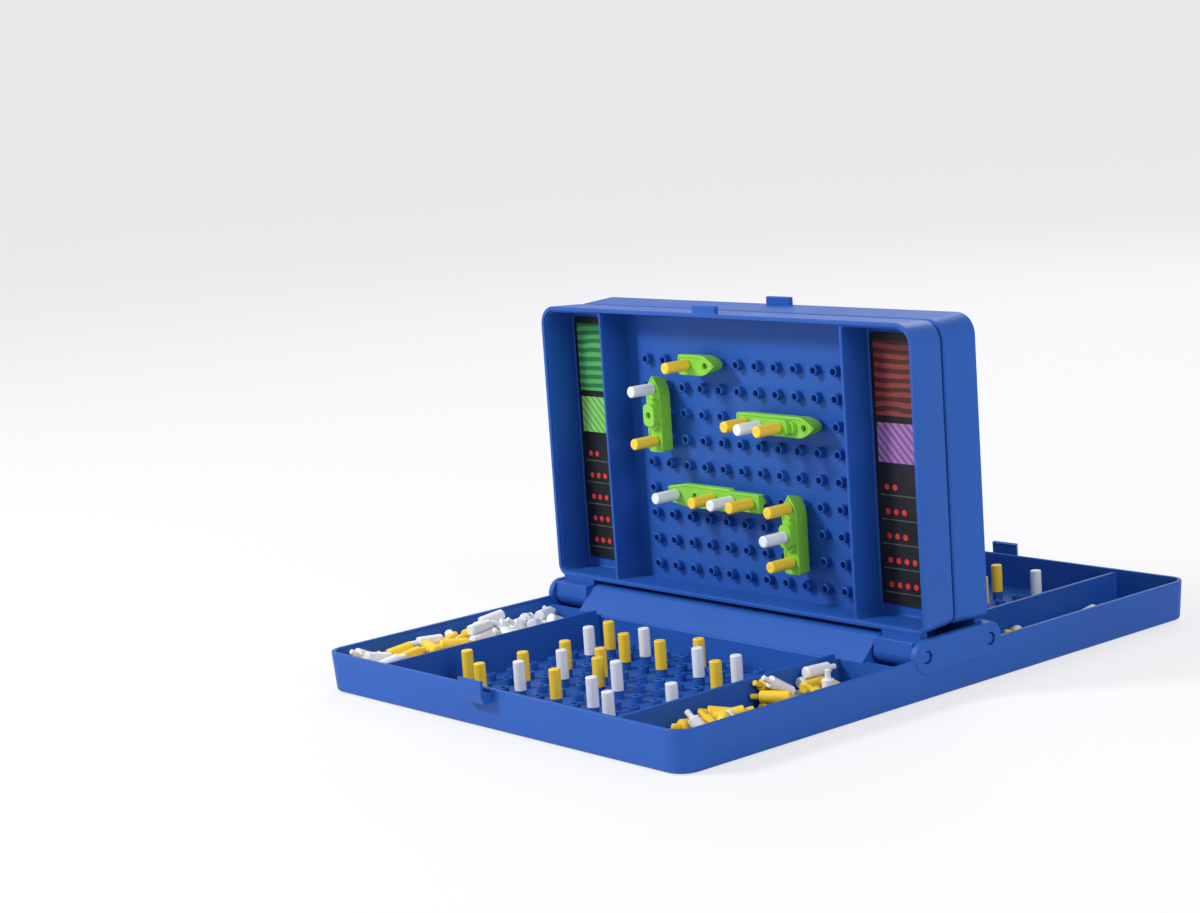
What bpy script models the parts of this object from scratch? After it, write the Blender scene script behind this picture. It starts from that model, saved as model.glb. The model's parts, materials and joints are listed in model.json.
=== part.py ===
"""A folding plastic case for a two-player hidden-fleet guessing game, open on a table.

One long base moulding carries two lids on a hinge bar across its middle. The lids stand back to
back, each facing its own player, and each folds down over its own half of the base. Lids and base
halves hold the same grid of peg holes between two side channels. Ships plug into the lids, pegs
plug into the base and into the ships, and a printed card lies in each lid channel.

Units are metres, +Z is up, +X runs along the hinges and the front player sits at -Y.
"""

import math

import bmesh
import bpy
from mathutils import Matrix, Vector

MM = 0.001

# Grid of peg holes, the same on all four boards
PITCH = 12.0 * MM
COLUMNS = 11
ROWS = 9
HOLE_SIDES = 6
GRID_START = 9.6 * MM          # lid's lower wall to the first row of holes
GRID_END = 24.4 * MM           # last row of holes to the free end

# Pegs
PEG_RADIUS = 2.6 * MM
PEG_LENGTH = 13.0 * MM
PEG_CHAMFER = 0.6 * MM
PEG_SIDES = 8
SHANK_RADIUS = 1.25 * MM
SHANK_LENGTH = 4.0 * MM
PEG_CLEARANCE = 0.27 * MM      # between a shank and the flats of its hole
BOSS_HEIGHT = 0.8 * MM         # raised ring round every hole
SEAT_GAP = 0.3 * MM

# Ships
SHIP_HALF_BEAM = 4.7 * MM
SHIP_DECK = 8.0 * MM           # pad to main deck
BRIDGE_HEIGHT = 3.5 * MM       # main deck to raised deck
BRIDGE_HALF_BEAM = 3.6 * MM
BRIDGE_OVERHANG = 5.2 * MM     # past the last raised hole
STERN_OVERHANG = 5.5 * MM
STERN_CHAMFER = 1.2 * MM
BOW_OVERHANG = 5.8 * MM
BOW_LENGTH = 9.0 * MM
BOW_STEPS = 4
BOW_POWER = 1.8
SHIP_PIN_PAST = 0.6 * MM       # how far a ship's pin comes through the pad
DECK_HOLE_SPARE = 1.0 * MM     # depth of a deck hole past the peg's shank
CARRIER_HOLES = 5              # the longest ship is a carrier
CARRIER_INSET = 2.0 * MM       # hull under the flight deck, in from its ends
CARRIER_HALF_BEAM = 3.6 * MM
FLIGHT_DECK_THICKNESS = 3.0 * MM
FLIGHT_DECK_HALF_BEAM = 5.3 * MM
FLIGHT_DECK_STERN_TAPER = 1.8 * MM   # each side is this much narrower at the stern
FLIGHT_DECK_BOW_TAPER = 1.1 * MM
FLIGHT_DECK_STEP = 1.5 * MM    # length over which the narrower bow joins

# Mouldings of base and lids
WALL = 2.0 * MM
FLOOR = 2.0 * MM
DRAFT = 1.0 * MM               # how far a wall leans in over its whole depth
CORNER = 9.0 * MM
HINGE_CORNER = 5.5 * MM        # a lid's corners beside its hinges
CORNER_STEPS = 4
RIM_STEP = 0.4 * MM            # the wall is thicker below its lip
LIP_DEPTH = 1.2 * MM           # lip height, and how far the partitions stay under the rim
RIM_GAP = 0.4 * MM             # between lid rim and base rim when closed
BACK_GAP = 1.0 * MM            # between the two open lids
PAD_THICKNESS = 2.0 * MM
PAD_MARGIN = 8.4 * MM          # outer column of holes to the edge of the raised pad
GUTTER_WIDTH = 7.6 * MM        # pad edge to partition
PARTITION_THICKNESS = 1.6 * MM
CHANNEL_WIDTH = 38.0 * MM
BASE_HOLLOW = 2.5 * MM         # under the base's pad
LID_HOLLOW = 3.5 * MM          # behind a lid's pad
HOLLOW_MARGIN = 2.0 * MM       # solid left around the hollows
FOLD_CLEARANCE = 2.6 * MM      # longest peg in a lid to the base's pad when closed

# Hinges
PIN_RADIUS = 2.5 * MM
PIN_CLEARANCE = 0.4 * MM
PIN_SETBACK = 0.8 * MM         # pin end inside the bar's outer face
PIN_SIDES = 12
BAR_WALL = 4.3 * MM            # around the pin hole
BAR_THICKNESS = 3.2 * MM
BAR_PROUD = 0.4 * MM           # bar face outside the base wall
BAR_STEPS = 8
LID_CLEARANCE = 1.2 * MM       # bar to the lid's lower wall
KNUCKLE_WALL = 2.7 * MM        # around the pin
KNUCKLE_LENGTH = 22.3 * MM
KNUCKLE_FRONT = 4.4 * MM       # flat front of the knuckle, before the hinge axis
KNUCKLE_DROP = 1.9 * MM        # lid's lower wall to the top of that flat
SIDE_CLEARANCE = 0.5 * MM      # at the ends of a knuckle

# Deck between the hinges
DECK_DROP = 3.6 * MM           # rim to deck
RIDGE_GAP = 2.0 * MM           # lid's lower wall to the ridge under the open lids
RIDGE_LIP = 1.0 * MM           # foot of the ridge's ramps to the end of the deck
POCKET_CLEARANCE = 1.5 * MM    # around a knuckle
POCKET_WALL = 4.0 * MM         # pocket to the end of the deck

# Latches
LATCH_OFFSET = 5.0 * MM
LATCH_WIDTH = 15.0 * MM
TONGUE_REACH = 3.5 * MM
TONGUE_THICKNESS = 2.4 * MM
TONGUE_SETBACK = 0.15 * MM     # behind the lid's rim
FINGER_THICKNESS = 1.5 * MM
FINGER_GAP = 0.3 * MM
NOSE = 0.5 * MM                # how far the finger's nose reaches in over the tongue
NOSE_HEIGHT = 0.6 * MM
SHELF_TOP = 1.5 * MM           # rim to the top of the catch's shelf
SHELF_THICKNESS = 4.5 * MM

# Cards
CARD_THICKNESS = 0.5 * MM
CARD_SIDE_GAP = 1.6 * MM

# Worked out from the sizes above
CAVITY_WALL = WALL + RIM_STEP
HOLE_RADIUS = (SHANK_RADIUS + PEG_CLEARANCE) / math.cos(math.pi / HOLE_SIDES)
PEG_SEAT = BOSS_HEIGHT + SEAT_GAP
SHIP_BRIDGE = SHIP_DECK + BRIDGE_HEIGHT
SHIP_PIN_LENGTH = PAD_THICKNESS + SHIP_PIN_PAST
DECK_HOLE_DEPTH = SHANK_LENGTH + DECK_HOLE_SPARE
PAD_DEPTH = (SHIP_BRIDGE + SEAT_GAP + PEG_LENGTH + FOLD_CLEARANCE - RIM_GAP) / 2   # rim to pad
BASE_HEIGHT = PAD_DEPTH + PAD_THICKNESS + BASE_HOLLOW
LID_DEPTH = PAD_DEPTH + PAD_THICKNESS + LID_HOLLOW
LID_HEIGHT = GRID_START + (ROWS - 1) * PITCH + GRID_END
PAD_HALF_WIDTH = (COLUMNS - 1) / 2 * PITCH + PAD_MARGIN
WELL_HALF_WIDTH = PAD_HALF_WIDTH + GUTTER_WIDTH
CHANNEL_INNER = WELL_HALF_WIDTH + PARTITION_THICKNESS
CHANNEL_OUTER = CHANNEL_INNER + CHANNEL_WIDTH
HALF_WIDTH = CHANNEL_OUTER + CAVITY_WALL
BAR_RADIUS = PIN_RADIUS + PIN_CLEARANCE + BAR_WALL
BAR_INNER = HALF_WIDTH + BAR_PROUD - BAR_THICKNESS
HINGE_RISE = BAR_RADIUS + LID_CLEARANCE          # hinge axis to the lid's lower wall
FIRST_ROW = HINGE_RISE + GRID_START
REACH = HINGE_RISE + LID_HEIGHT                  # hinge axis to the free end of a lid or base half
KNUCKLE_RADIUS = PIN_RADIUS + KNUCKLE_WALL
KNUCKLE_OUTER = BAR_INNER - SIDE_CLEARANCE
KNUCKLE_INNER = KNUCKLE_OUTER - KNUCKLE_LENGTH
POCKET_INNER = KNUCKLE_INNER - SIDE_CLEARANCE
POCKET_REACH = HINGE_RISE - KNUCKLE_DROP + POCKET_CLEARANCE
POCKET_BACK = KNUCKLE_RADIUS + POCKET_CLEARANCE
POCKET_DEPTH = POCKET_BACK - RIM_GAP / 2         # rim to the floor of a knuckle pocket
DECK_EDGE = POCKET_REACH + POCKET_WALL           # hinge axis to the end of the deck
RIDGE_HALF_WIDTH = POCKET_INNER - SIDE_CLEARANCE
RAMP = DECK_EDGE - RIDGE_LIP                     # hinge axis to the foot of a ramp
CARD_END_GAP = CORNER / 2                        # clears the rounded corner of the channel
AXIS_Y = LID_DEPTH + RIM_GAP / 2 + BACK_GAP / 2
AXIS_Z = BASE_HEIGHT + RIM_GAP / 2
RIDGE_TOP = AXIS_Z + HINGE_RISE - RIDGE_GAP
HALF_LENGTH = AXIS_Y + REACH

# How far a cutter reaches past the face it opens, how far a joined piece reaches into its
# neighbour, and how far two faces are set apart that would otherwise lie in one plane
ABOVE = 6.0 * MM
INSIDE = 1.0 * MM
FACE_STEP = 0.1 * MM
SHARP_ANGLE = math.radians(50)

FRONT = Matrix.Identity(4)
REAR = Matrix.Rotation(math.pi, 4, "Z")
SIDES = {"front": FRONT, "rear": REAR}
LEFT_RIGHT = (-1, 1)

# Ships on each lid: name, holes, column and row of the stern, heading, raised cells.
# Columns count from the player's left and rows from the hinge.
FLEETS = {
    "front": (
        ("two_hole", 2, 3, 8, "right", ()),
        ("three_hole_a", 3, 1, 5, "up", (1,)),
        ("four_hole", 4, 6, 6, "right", (1, 2)),
        ("five_hole", 5, 2, 3, "right", ()),
        ("three_hole_b", 3, 8, 1, "up", (1,)),
    ),
    "rear": (
        ("two_hole", 2, 3, 1, "right", ()),
        ("three_hole_a", 3, 5, 4, "right", (1,)),
        ("four_hole", 4, 1, 2, "up", (1, 2)),
        ("five_hole", 5, 4, 7, "right", ()),
        ("three_hole_b", 3, 9, 1, "up", (1,)),
    ),
}

# Pegs in the ships: ship, cell from the stern, colour
SHIP_PEGS = {
    "front": (
        ("two_hole", 0, "yellow"),
        ("three_hole_a", 0, "yellow"),
        ("three_hole_a", 2, "white"),
        ("four_hole", 0, "yellow"),
        ("four_hole", 1, "white"),
        ("four_hole", 2, "yellow"),
        ("five_hole", 0, "white"),
        ("five_hole", 2, "yellow"),
        ("five_hole", 3, "white"),
        ("five_hole", 4, "yellow"),
        ("three_hole_b", 0, "yellow"),
        ("three_hole_b", 1, "white"),
        ("three_hole_b", 2, "yellow"),
    ),
    "rear": (
        ("five_hole", 1, "white"),
        ("three_hole_a", 1, "yellow"),
        ("three_hole_b", 1, "white"),
    ),
}

# Pegs in the base: column, row, colour
BASE_PEGS = {
    "front": (
        (0, 7, "yellow"), (2, 8, "yellow"), (3, 7, "white"), (2, 6, "yellow"), (5, 7, "yellow"),
        (3, 5, "white"), (2, 4, "yellow"), (1, 2, "white"), (4, 4, "yellow"), (1, 1, "yellow"),
        (3, 2, "yellow"), (6, 5, "white"), (5, 5, "yellow"), (7, 7, "white"), (9, 8, "white"),
        (3, 1, "white"), (5, 2, "yellow"), (10, 6, "white"), (6, 1, "yellow"), (7, 2, "white"),
        (9, 3, "yellow"), (9, 2, "white"),
    ),
    "rear": (
        (2, 6, "yellow"), (3, 8, "yellow"), (1, 8, "white"), (7, 5, "white"), (5, 2, "yellow"),
    ),
}

# Finish of each piece: base colour, roughness
FINISHES = {
    "case_blue": ((0.020, 0.070, 0.370, 1.0), 0.42),
    "ship_green": ((0.180, 0.580, 0.030, 1.0), 0.40),
    "peg_yellow": ((0.870, 0.540, 0.020, 1.0), 0.38),
    "peg_white": ((0.780, 0.780, 0.820, 1.0), 0.38),
    "card_print": ((0.012, 0.013, 0.015, 1.0), 0.45),
}


def clear_scene():
    for item in list(bpy.data.objects):
        bpy.data.objects.remove(item, do_unlink=True)


def new_collection(name):
    group = bpy.data.collections.new(name)
    bpy.context.scene.collection.children.link(group)
    return group


def make_material(name, colour, roughness):
    material = bpy.data.materials.new(name)
    material.use_nodes = True
    shader = material.node_tree.nodes["Principled BSDF"]
    shader.inputs["Base Color"].default_value = colour
    shader.inputs["Roughness"].default_value = roughness
    shader.inputs["Metallic"].default_value = 0.0
    return material


def add_object(name, mesh, group, matrix=None):
    item = bpy.data.objects.new(name, mesh)
    group.objects.link(item)
    if matrix is not None:
        item.matrix_world = matrix
    return item


def add_block(bm, low, high, lean=(0, 0, 0, 0), corner=None):
    """A box. lean moves its bottom edges in at -X, +X, -Y and +Y; corner gives an upright edge's radius."""
    low = Vector(low)
    high = Vector(high)
    made = bmesh.ops.create_cube(bm, size=1.0)["verts"]
    for v in made:
        share = v.co + Vector((0.5, 0.5, 0.5))
        v.co = Vector(low[i] + share[i] * (high[i] - low[i]) for i in range(3))
        if share.z < 0.5:
            v.co.x += lean[0] if share.x < 0.5 else -lean[1]
            v.co.y += lean[2] if share.y < 0.5 else -lean[3]
    if corner is not None:
        by_radius = {}
        for v in made:
            for edge in v.link_edges:
                rise = edge.other_vert(v).co.z - v.co.z
                if rise > abs(high.z - low.z) / 2:
                    by_radius.setdefault(corner(v.co), []).append(edge)
        for radius, edges in by_radius.items():
            if radius > 0.0:
                bmesh.ops.bevel(
                    bm, geom=edges, offset=radius, segments=CORNER_STEPS, profile=0.5, affect="EDGES",
                )


def add_rod(bm, radius, start, end, sides):
    """A round bar between two points."""
    start = Vector(start)
    end = Vector(end)
    turn = (end - start).to_track_quat("Z", "Y").to_matrix().to_4x4()
    place = Matrix.Translation((start + end) / 2) @ turn
    bmesh.ops.create_cone(
        bm, cap_ends=True, segments=sides, radius1=radius, radius2=radius,
        depth=(end - start).length, matrix=place,
    )


def add_outline(bm, points, thickness, matrix):
    """A flat outline in XY, as thick as stated about Z = 0, moved by matrix."""
    curve = bpy.data.curves.new("outline", "CURVE")
    curve.dimensions = "2D"
    curve.fill_mode = "BOTH"
    curve.extrude = thickness / 2
    spline = curve.splines.new("POLY")
    spline.points.add(len(points) - 1)
    for point, (x, y) in zip(spline.points, points):
        point.co = (x, y, 0.0, 1.0)
    spline.use_cyclic_u = True
    shape = bpy.data.objects.new("outline", curve)
    bpy.context.scene.collection.objects.link(shape)
    bpy.context.view_layer.update()
    solid = bpy.data.meshes.new_from_object(shape.evaluated_get(bpy.context.evaluated_depsgraph_get()))
    bpy.data.objects.remove(shape, do_unlink=True)
    bpy.data.curves.remove(curve)
    loose = bmesh.new()
    loose.from_mesh(solid)
    bmesh.ops.remove_doubles(loose, verts=loose.verts, dist=1e-6)
    bmesh.ops.recalc_face_normals(loose, faces=loose.faces)
    bmesh.ops.transform(loose, matrix=matrix, verts=loose.verts)
    loose.to_mesh(solid)
    loose.free()
    bm.from_mesh(solid)
    bpy.data.meshes.remove(solid)


def to_mesh(name, bm):
    mesh = bpy.data.meshes.new(name)
    bm.to_mesh(mesh)
    bm.free()
    return mesh


def combine(target, name, bm, operation):
    """Joins shapes to the target, or cuts them out of it, with a live Boolean."""
    tool = add_object(name, to_mesh(name, bm), CUTTERS, target.matrix_world)
    tool.hide_render = True
    tool.display_type = "WIRE"
    step = target.modifiers.new(name, "BOOLEAN")
    step.operation = operation
    step.object = tool


def freeze(item):
    """Replaces a piece's mesh by the finished shape, so that copies can share it."""
    bpy.context.view_layer.update()
    shape = item.evaluated_get(bpy.context.evaluated_depsgraph_get())
    finished = bpy.data.meshes.new_from_object(shape)
    tools = [step.object for step in item.modifiers]
    item.modifiers.clear()
    item.data = finished
    for tool in tools:
        bpy.data.objects.remove(tool, do_unlink=True)


def column_x(column):
    return (column - (COLUMNS - 1) / 2) * PITCH


def row_reach(row):
    return FIRST_ROW + row * PITCH


def add_grid_holes(bm, low, high, along):
    """One hole for every place on the grid; along gives the board's Y for a reach from the hinge."""
    for column in range(COLUMNS):
        for row in range(ROWS):
            x, y = column_x(column), along(row_reach(row))
            add_rod(bm, HOLE_RADIUS, (x, y, low), (x, y, high), HOLE_SIDES)


def add_cavities(bm, start, end, rim, floor, flip, hinge_corner):
    """Peg well and the two channels of one board, opening upward.

    A channel's outer corners follow the shell's: CORNER at the free end, hinge_corner at the other.
    """
    pad = rim - PAD_DEPTH
    top = rim + ABOVE
    ends = (start, end) if flip > 0 else (-end, -start)
    near, far = (0.0, DRAFT) if flip > 0 else (DRAFT, 0.0)
    add_block(bm, (-WELL_HALF_WIDTH, ends[0], pad), (WELL_HALF_WIDTH, ends[1], top), (0, 0, near, far))
    for side in LEFT_RIGHT:
        x = sorted((side * CHANNEL_INNER, side * CHANNEL_OUTER))
        lean = (0, DRAFT, near, far) if side > 0 else (DRAFT, 0, near, far)

        def corner(co, middle=sum(x) / 2, side=side):
            outside = (co.x - middle) * side > 0
            free_end = (co.y - sum(ends) / 2) * flip > 0
            shell_corner = CORNER if free_end else hinge_corner
            return max(shell_corner - CAVITY_WALL, 0.0) if outside else 0.0

        add_block(bm, (x[0], ends[0], floor), (x[1], ends[1], top), lean, corner)


def add_gutters(bm, start, end, pad, floor, flip):
    """The low strips between the raised pad and the partitions."""
    ends = (start, end) if flip > 0 else (-end, -start)
    for side in LEFT_RIGHT:
        x = sorted((side * PAD_HALF_WIDTH, side * (WELL_HALF_WIDTH - RIM_STEP)))
        add_block(bm, (x[0], ends[0] + DRAFT, floor), (x[1], ends[1] - DRAFT, pad + INSIDE))


def stadium(half_length, radius, steps):
    """Points of a bar with round ends."""
    points = []
    for centre, start in ((half_length, -math.pi / 2), (-half_length, math.pi / 2)):
        for i in range(steps + 1):
            angle = start + math.pi * i / steps
            points.append((centre + radius * math.cos(angle), radius * math.sin(angle)))
    return points


def ridge_outline(deck):
    """End view of the ridge under the open lids: a flat top, and a ramp down to each well."""
    foot = AXIS_Y + RAMP
    return [
        (-foot, deck - INSIDE), (foot, deck - INSIDE), (foot, deck + FACE_STEP),
        (AXIS_Y, RIDGE_TOP), (-AXIS_Y, RIDGE_TOP), (-foot, deck + FACE_STEP),
    ]


def add_catch(bm, matrix):
    """The catch on one end of the base: a shelf and a finger whose nose snaps over the lid's tongue."""
    finger_in = REACH + TONGUE_REACH + FINGER_GAP
    finger_out = finger_in + FINGER_THICKNESS
    tongue_top = BASE_HEIGHT + RIM_GAP + TONGUE_SETBACK + TONGUE_THICKNESS
    nose_low = tongue_top + FINGER_GAP
    nose_top = nose_low + NOSE_HEIGHT
    shelf_top = BASE_HEIGHT - SHELF_TOP
    shelf_low = shelf_top - SHELF_THICKNESS
    profile = (
        (REACH - INSIDE, shelf_low),
        (finger_in - FINGER_THICKNESS, shelf_low),
        (finger_out, shelf_low + FINGER_THICKNESS * 2),
        (finger_out, nose_top),
        (finger_out - FINGER_THICKNESS / 2, nose_top + NOSE_HEIGHT),
        (finger_in - NOSE, nose_top),
        (finger_in, nose_low),
        (finger_in, shelf_top),
        (REACH - INSIDE, shelf_top),
    )
    along_x = Matrix(((0, 0, 1, LATCH_OFFSET), (1, 0, 0, AXIS_Y), (0, 1, 0, 0), (0, 0, 0, 1)))
    add_outline(bm, profile, LATCH_WIDTH, matrix @ along_x)


def make_base():
    bm = bmesh.new()
    add_block(
        bm, (-HALF_WIDTH, -HALF_LENGTH, 0.0), (HALF_WIDTH, HALF_LENGTH, BASE_HEIGHT),
        (DRAFT, DRAFT, DRAFT, DRAFT), lambda co: CORNER,
    )
    base = add_object("base_tray", to_mesh("base_tray", bm), PARTS)
    pad = BASE_HEIGHT - PAD_DEPTH
    deck = BASE_HEIGHT - DECK_DROP
    start = AXIS_Y + DECK_EDGE
    end = HALF_LENGTH - CAVITY_WALL

    bm = bmesh.new()
    add_block(
        bm, (-HALF_WIDTH + WALL, -HALF_LENGTH + WALL, BASE_HEIGHT - LIP_DEPTH),
        (HALF_WIDTH - WALL, HALF_LENGTH - WALL, BASE_HEIGHT + ABOVE), corner=lambda co: CORNER - WALL,
    )
    combine(base, "base_lip", bm, "DIFFERENCE")

    bm = bmesh.new()
    for flip in (1, -1):
        add_cavities(bm, start, end, BASE_HEIGHT, FLOOR, flip, 0.0)
    combine(base, "base_wells", bm, "DIFFERENCE")

    bm = bmesh.new()
    for flip in (1, -1):
        add_gutters(bm, start, end, pad, FLOOR, flip)
    add_block(
        bm, (-HALF_WIDTH + CAVITY_WALL, -start - INSIDE, deck),
        (HALF_WIDTH - CAVITY_WALL, start + INSIDE, BASE_HEIGHT + ABOVE),
    )
    combine(base, "base_gutters_and_deck", bm, "DIFFERENCE")

    bm = bmesh.new()
    for side in LEFT_RIGHT:
        middle = side * (BAR_INNER + BAR_THICKNESS / 2)
        across = Matrix(((0, 0, 1, middle), (1, 0, 0, 0), (0, 1, 0, AXIS_Z), (0, 0, 0, 1)))
        add_outline(bm, stadium(AXIS_Y, BAR_RADIUS, BAR_STEPS), BAR_THICKNESS, across)
    across = Matrix(((0, 0, 1, 0), (1, 0, 0, 0), (0, 1, 0, 0), (0, 0, 0, 1)))
    add_outline(bm, ridge_outline(deck), 2 * RIDGE_HALF_WIDTH, across)
    for turn in SIDES.values():
        add_catch(bm, turn)
    combine(base, "hinge_bars_ridge_and_catches", bm, "UNION")

    bm = bmesh.new()
    for side in LEFT_RIGHT:
        x = sorted((side * POCKET_INNER, side * (BAR_INNER - FACE_STEP)))
        for end_sign in (-1, 1):
            y = sorted((end_sign * (AXIS_Y - POCKET_BACK), end_sign * (AXIS_Y + POCKET_REACH)))
            add_block(bm, (x[0], y[0], BASE_HEIGHT - POCKET_DEPTH), (x[1], y[1], AXIS_Z + BAR_RADIUS + ABOVE))
    combine(base, "knuckle_pockets", bm, "DIFFERENCE")

    bm = bmesh.new()
    pin_start = BAR_INNER - INSIDE
    pin_end = HALF_WIDTH + ABOVE
    for side in LEFT_RIGHT:
        for y in (-AXIS_Y, AXIS_Y):
            add_rod(
                bm, PIN_RADIUS + PIN_CLEARANCE, (side * pin_start, y, AXIS_Z), (side * pin_end, y, AXIS_Z),
                PIN_SIDES,
            )
    hollow = start - HOLLOW_MARGIN
    pocket_floor = BASE_HEIGHT - POCKET_DEPTH - FLOOR
    middle_half = POCKET_INNER - 2 * HOLLOW_MARGIN
    add_block(bm, (-middle_half, -hollow, -ABOVE), (middle_half, hollow, deck - FLOOR))
    for side in LEFT_RIGHT:
        x = sorted((side * POCKET_INNER, side * (HALF_WIDTH - DRAFT - 2 * WALL)))
        add_block(bm, (x[0], -hollow, -ABOVE), (x[1], hollow, pocket_floor))
    recess_half = PAD_HALF_WIDTH - HOLLOW_MARGIN
    for flip in (-1, 1):
        y = sorted((flip * (start + HOLLOW_MARGIN), flip * (end - HOLLOW_MARGIN)))
        add_block(bm, (-recess_half, y[0], -ABOVE), (recess_half, y[1], pad - PAD_THICKNESS))
    combine(base, "pin_holes_and_hollows", bm, "DIFFERENCE")

    bm = bmesh.new()
    ridge_hollow = AXIS_Y - HOLLOW_MARGIN
    spread = HOLLOW_MARGIN - RAMP
    add_block(
        bm, (-middle_half, -ridge_hollow, deck - FLOOR - INSIDE), (middle_half, ridge_hollow, RIDGE_TOP - FLOOR),
        (0, 0, spread, spread),
    )
    combine(base, "ridge_hollow", bm, "DIFFERENCE")

    bm = bmesh.new()
    low = pad - PAD_THICKNESS - INSIDE / 2
    high = pad + INSIDE / 2
    for flip in (-1, 1):
        add_grid_holes(bm, low, high, lambda reach, flip=flip: flip * (AXIS_Y + reach))
    combine(base, "base_peg_holes", bm, "DIFFERENCE")
    return base


def lid_corner(co):
    """Radius of a lid's corner, wide at its free end."""
    return CORNER if co.y > REACH / 2 else HINGE_CORNER


def make_lid():
    """A lid as a tray with its rim up, its hinge axis on the X axis and its board away along +Y."""
    rim = -RIM_GAP / 2
    back = rim - LID_DEPTH
    pad = rim - PAD_DEPTH
    floor = back + FLOOR
    start = HINGE_RISE + CAVITY_WALL
    end = REACH - CAVITY_WALL
    bm = bmesh.new()
    add_block(
        bm, (-HALF_WIDTH, HINGE_RISE, back), (HALF_WIDTH, REACH, rim),
        (DRAFT, DRAFT, DRAFT, DRAFT), lid_corner,
    )
    lid = add_object("lid_front", to_mesh("lid", bm), PARTS)

    bm = bmesh.new()
    add_block(
        bm, (-HALF_WIDTH + WALL, HINGE_RISE + WALL, rim - LIP_DEPTH),
        (HALF_WIDTH - WALL, REACH - WALL, ABOVE), corner=lambda co: lid_corner(co) - WALL,
    )
    combine(lid, "lid_lip", bm, "DIFFERENCE")

    bm = bmesh.new()
    add_cavities(bm, start, end, rim, floor, 1, HINGE_CORNER)
    combine(lid, "lid_wells", bm, "DIFFERENCE")

    bm = bmesh.new()
    add_gutters(bm, start, end, pad, floor, 1)
    recess_half = PAD_HALF_WIDTH - HOLLOW_MARGIN
    add_block(
        bm, (-recess_half, start + HOLLOW_MARGIN, back - ABOVE),
        (recess_half, end - HOLLOW_MARGIN, pad - PAD_THICKNESS),
    )
    combine(lid, "lid_gutters_and_hollow", bm, "DIFFERENCE")

    bm = bmesh.new()
    for side in LEFT_RIGHT:
        x = sorted((side * KNUCKLE_INNER, side * KNUCKLE_OUTER))
        add_block(bm, (x[0], 0.0, -KNUCKLE_RADIUS), (x[1], HINGE_RISE + INSIDE, rim - TONGUE_SETBACK))
    tongue_left = -LATCH_OFFSET - LATCH_WIDTH / 2
    tongue_face = rim - TONGUE_SETBACK
    add_block(
        bm, (tongue_left, REACH - INSIDE, tongue_face - TONGUE_THICKNESS),
        (tongue_left + LATCH_WIDTH, REACH + TONGUE_REACH, tongue_face),
    )
    combine(lid, "knuckle_webs_and_tongue", bm, "UNION")

    bm = bmesh.new()
    for side in LEFT_RIGHT:
        x = sorted((side * (KNUCKLE_INNER + FACE_STEP), side * (KNUCKLE_OUTER - FACE_STEP)))
        add_block(
            bm, (x[0], -INSIDE, -KNUCKLE_RADIUS / 2), (x[1], HINGE_RISE - KNUCKLE_DROP, KNUCKLE_FRONT),
        )
    combine(lid, "knuckle_fronts", bm, "UNION")

    bm = bmesh.new()
    for side in LEFT_RIGHT:
        add_rod(bm, KNUCKLE_RADIUS, (side * KNUCKLE_INNER, 0, 0), (side * KNUCKLE_OUTER, 0, 0), PIN_SIDES)
    combine(lid, "knuckle_barrels", bm, "UNION")

    bm = bmesh.new()
    pin_end = HALF_WIDTH + BAR_PROUD - PIN_SETBACK
    for side in LEFT_RIGHT:
        add_rod(bm, PIN_RADIUS, (side * (KNUCKLE_OUTER - INSIDE), 0, 0), (side * pin_end, 0, 0), PIN_SIDES)
    combine(lid, "hinge_pins", bm, "UNION")

    bm = bmesh.new()
    add_grid_holes(bm, pad - PAD_THICKNESS - INSIDE / 2, pad + INSIDE / 2, lambda reach: reach)
    combine(lid, "lid_peg_holes", bm, "DIFFERENCE")
    freeze(lid)
    return lid


def lid_place(side):
    """From the lid's own frame, rim up, to where it stands open."""
    stand = Matrix.Translation((0.0, -AXIS_Y, AXIS_Z)) @ Matrix.Rotation(math.pi / 2, 4, "X")
    return SIDES[side] @ stand


def lid_hole(side, column, row):
    """Frame of a hole on an open lid: its Z points out of the pad, its Y up the lid."""
    return lid_place(side) @ Matrix.Translation((column_x(column), row_reach(row), -RIM_GAP / 2 - PAD_DEPTH))


def base_hole(side, column, row):
    place = Matrix.Translation((column_x(column), -AXIS_Y - row_reach(row), BASE_HEIGHT - PAD_DEPTH))
    return SIDES[side] @ place


def hull_outline(holes):
    """Plan of a ship from its stern, with the first hole at the origin and the bow at +X."""
    tip = (holes - 1) * PITCH + BOW_OVERHANG
    shoulder = tip - BOW_LENGTH
    edge = [
        (-STERN_OVERHANG, -SHIP_HALF_BEAM + STERN_CHAMFER),
        (-STERN_OVERHANG + STERN_CHAMFER, -SHIP_HALF_BEAM),
    ]
    for i in range(BOW_STEPS):
        share = i / BOW_STEPS
        edge.append((shoulder + share * BOW_LENGTH, -SHIP_HALF_BEAM * (1 - share ** BOW_POWER)))
    return edge + [(tip, 0.0)] + [(x, -y) for x, y in reversed(edge)]


def flight_deck_outline(holes):
    """Plan of a carrier's deck: square at both ends, tapered at the stern and stepped before the bow."""
    bow = (holes - 1) * PITCH + STERN_OVERHANG
    step = (holes - 2) * PITCH - FLIGHT_DECK_STEP
    narrow = FLIGHT_DECK_HALF_BEAM - FLIGHT_DECK_BOW_TAPER
    edge = [
        (-STERN_OVERHANG, FLIGHT_DECK_STERN_TAPER - FLIGHT_DECK_HALF_BEAM),
        (PITCH / 2, -FLIGHT_DECK_HALF_BEAM),
        (step, -FLIGHT_DECK_HALF_BEAM),
        (step + FLIGHT_DECK_STEP, -narrow),
        (bow, -narrow),
    ]
    return edge + [(x, -y) for x, y in reversed(edge)]


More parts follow.
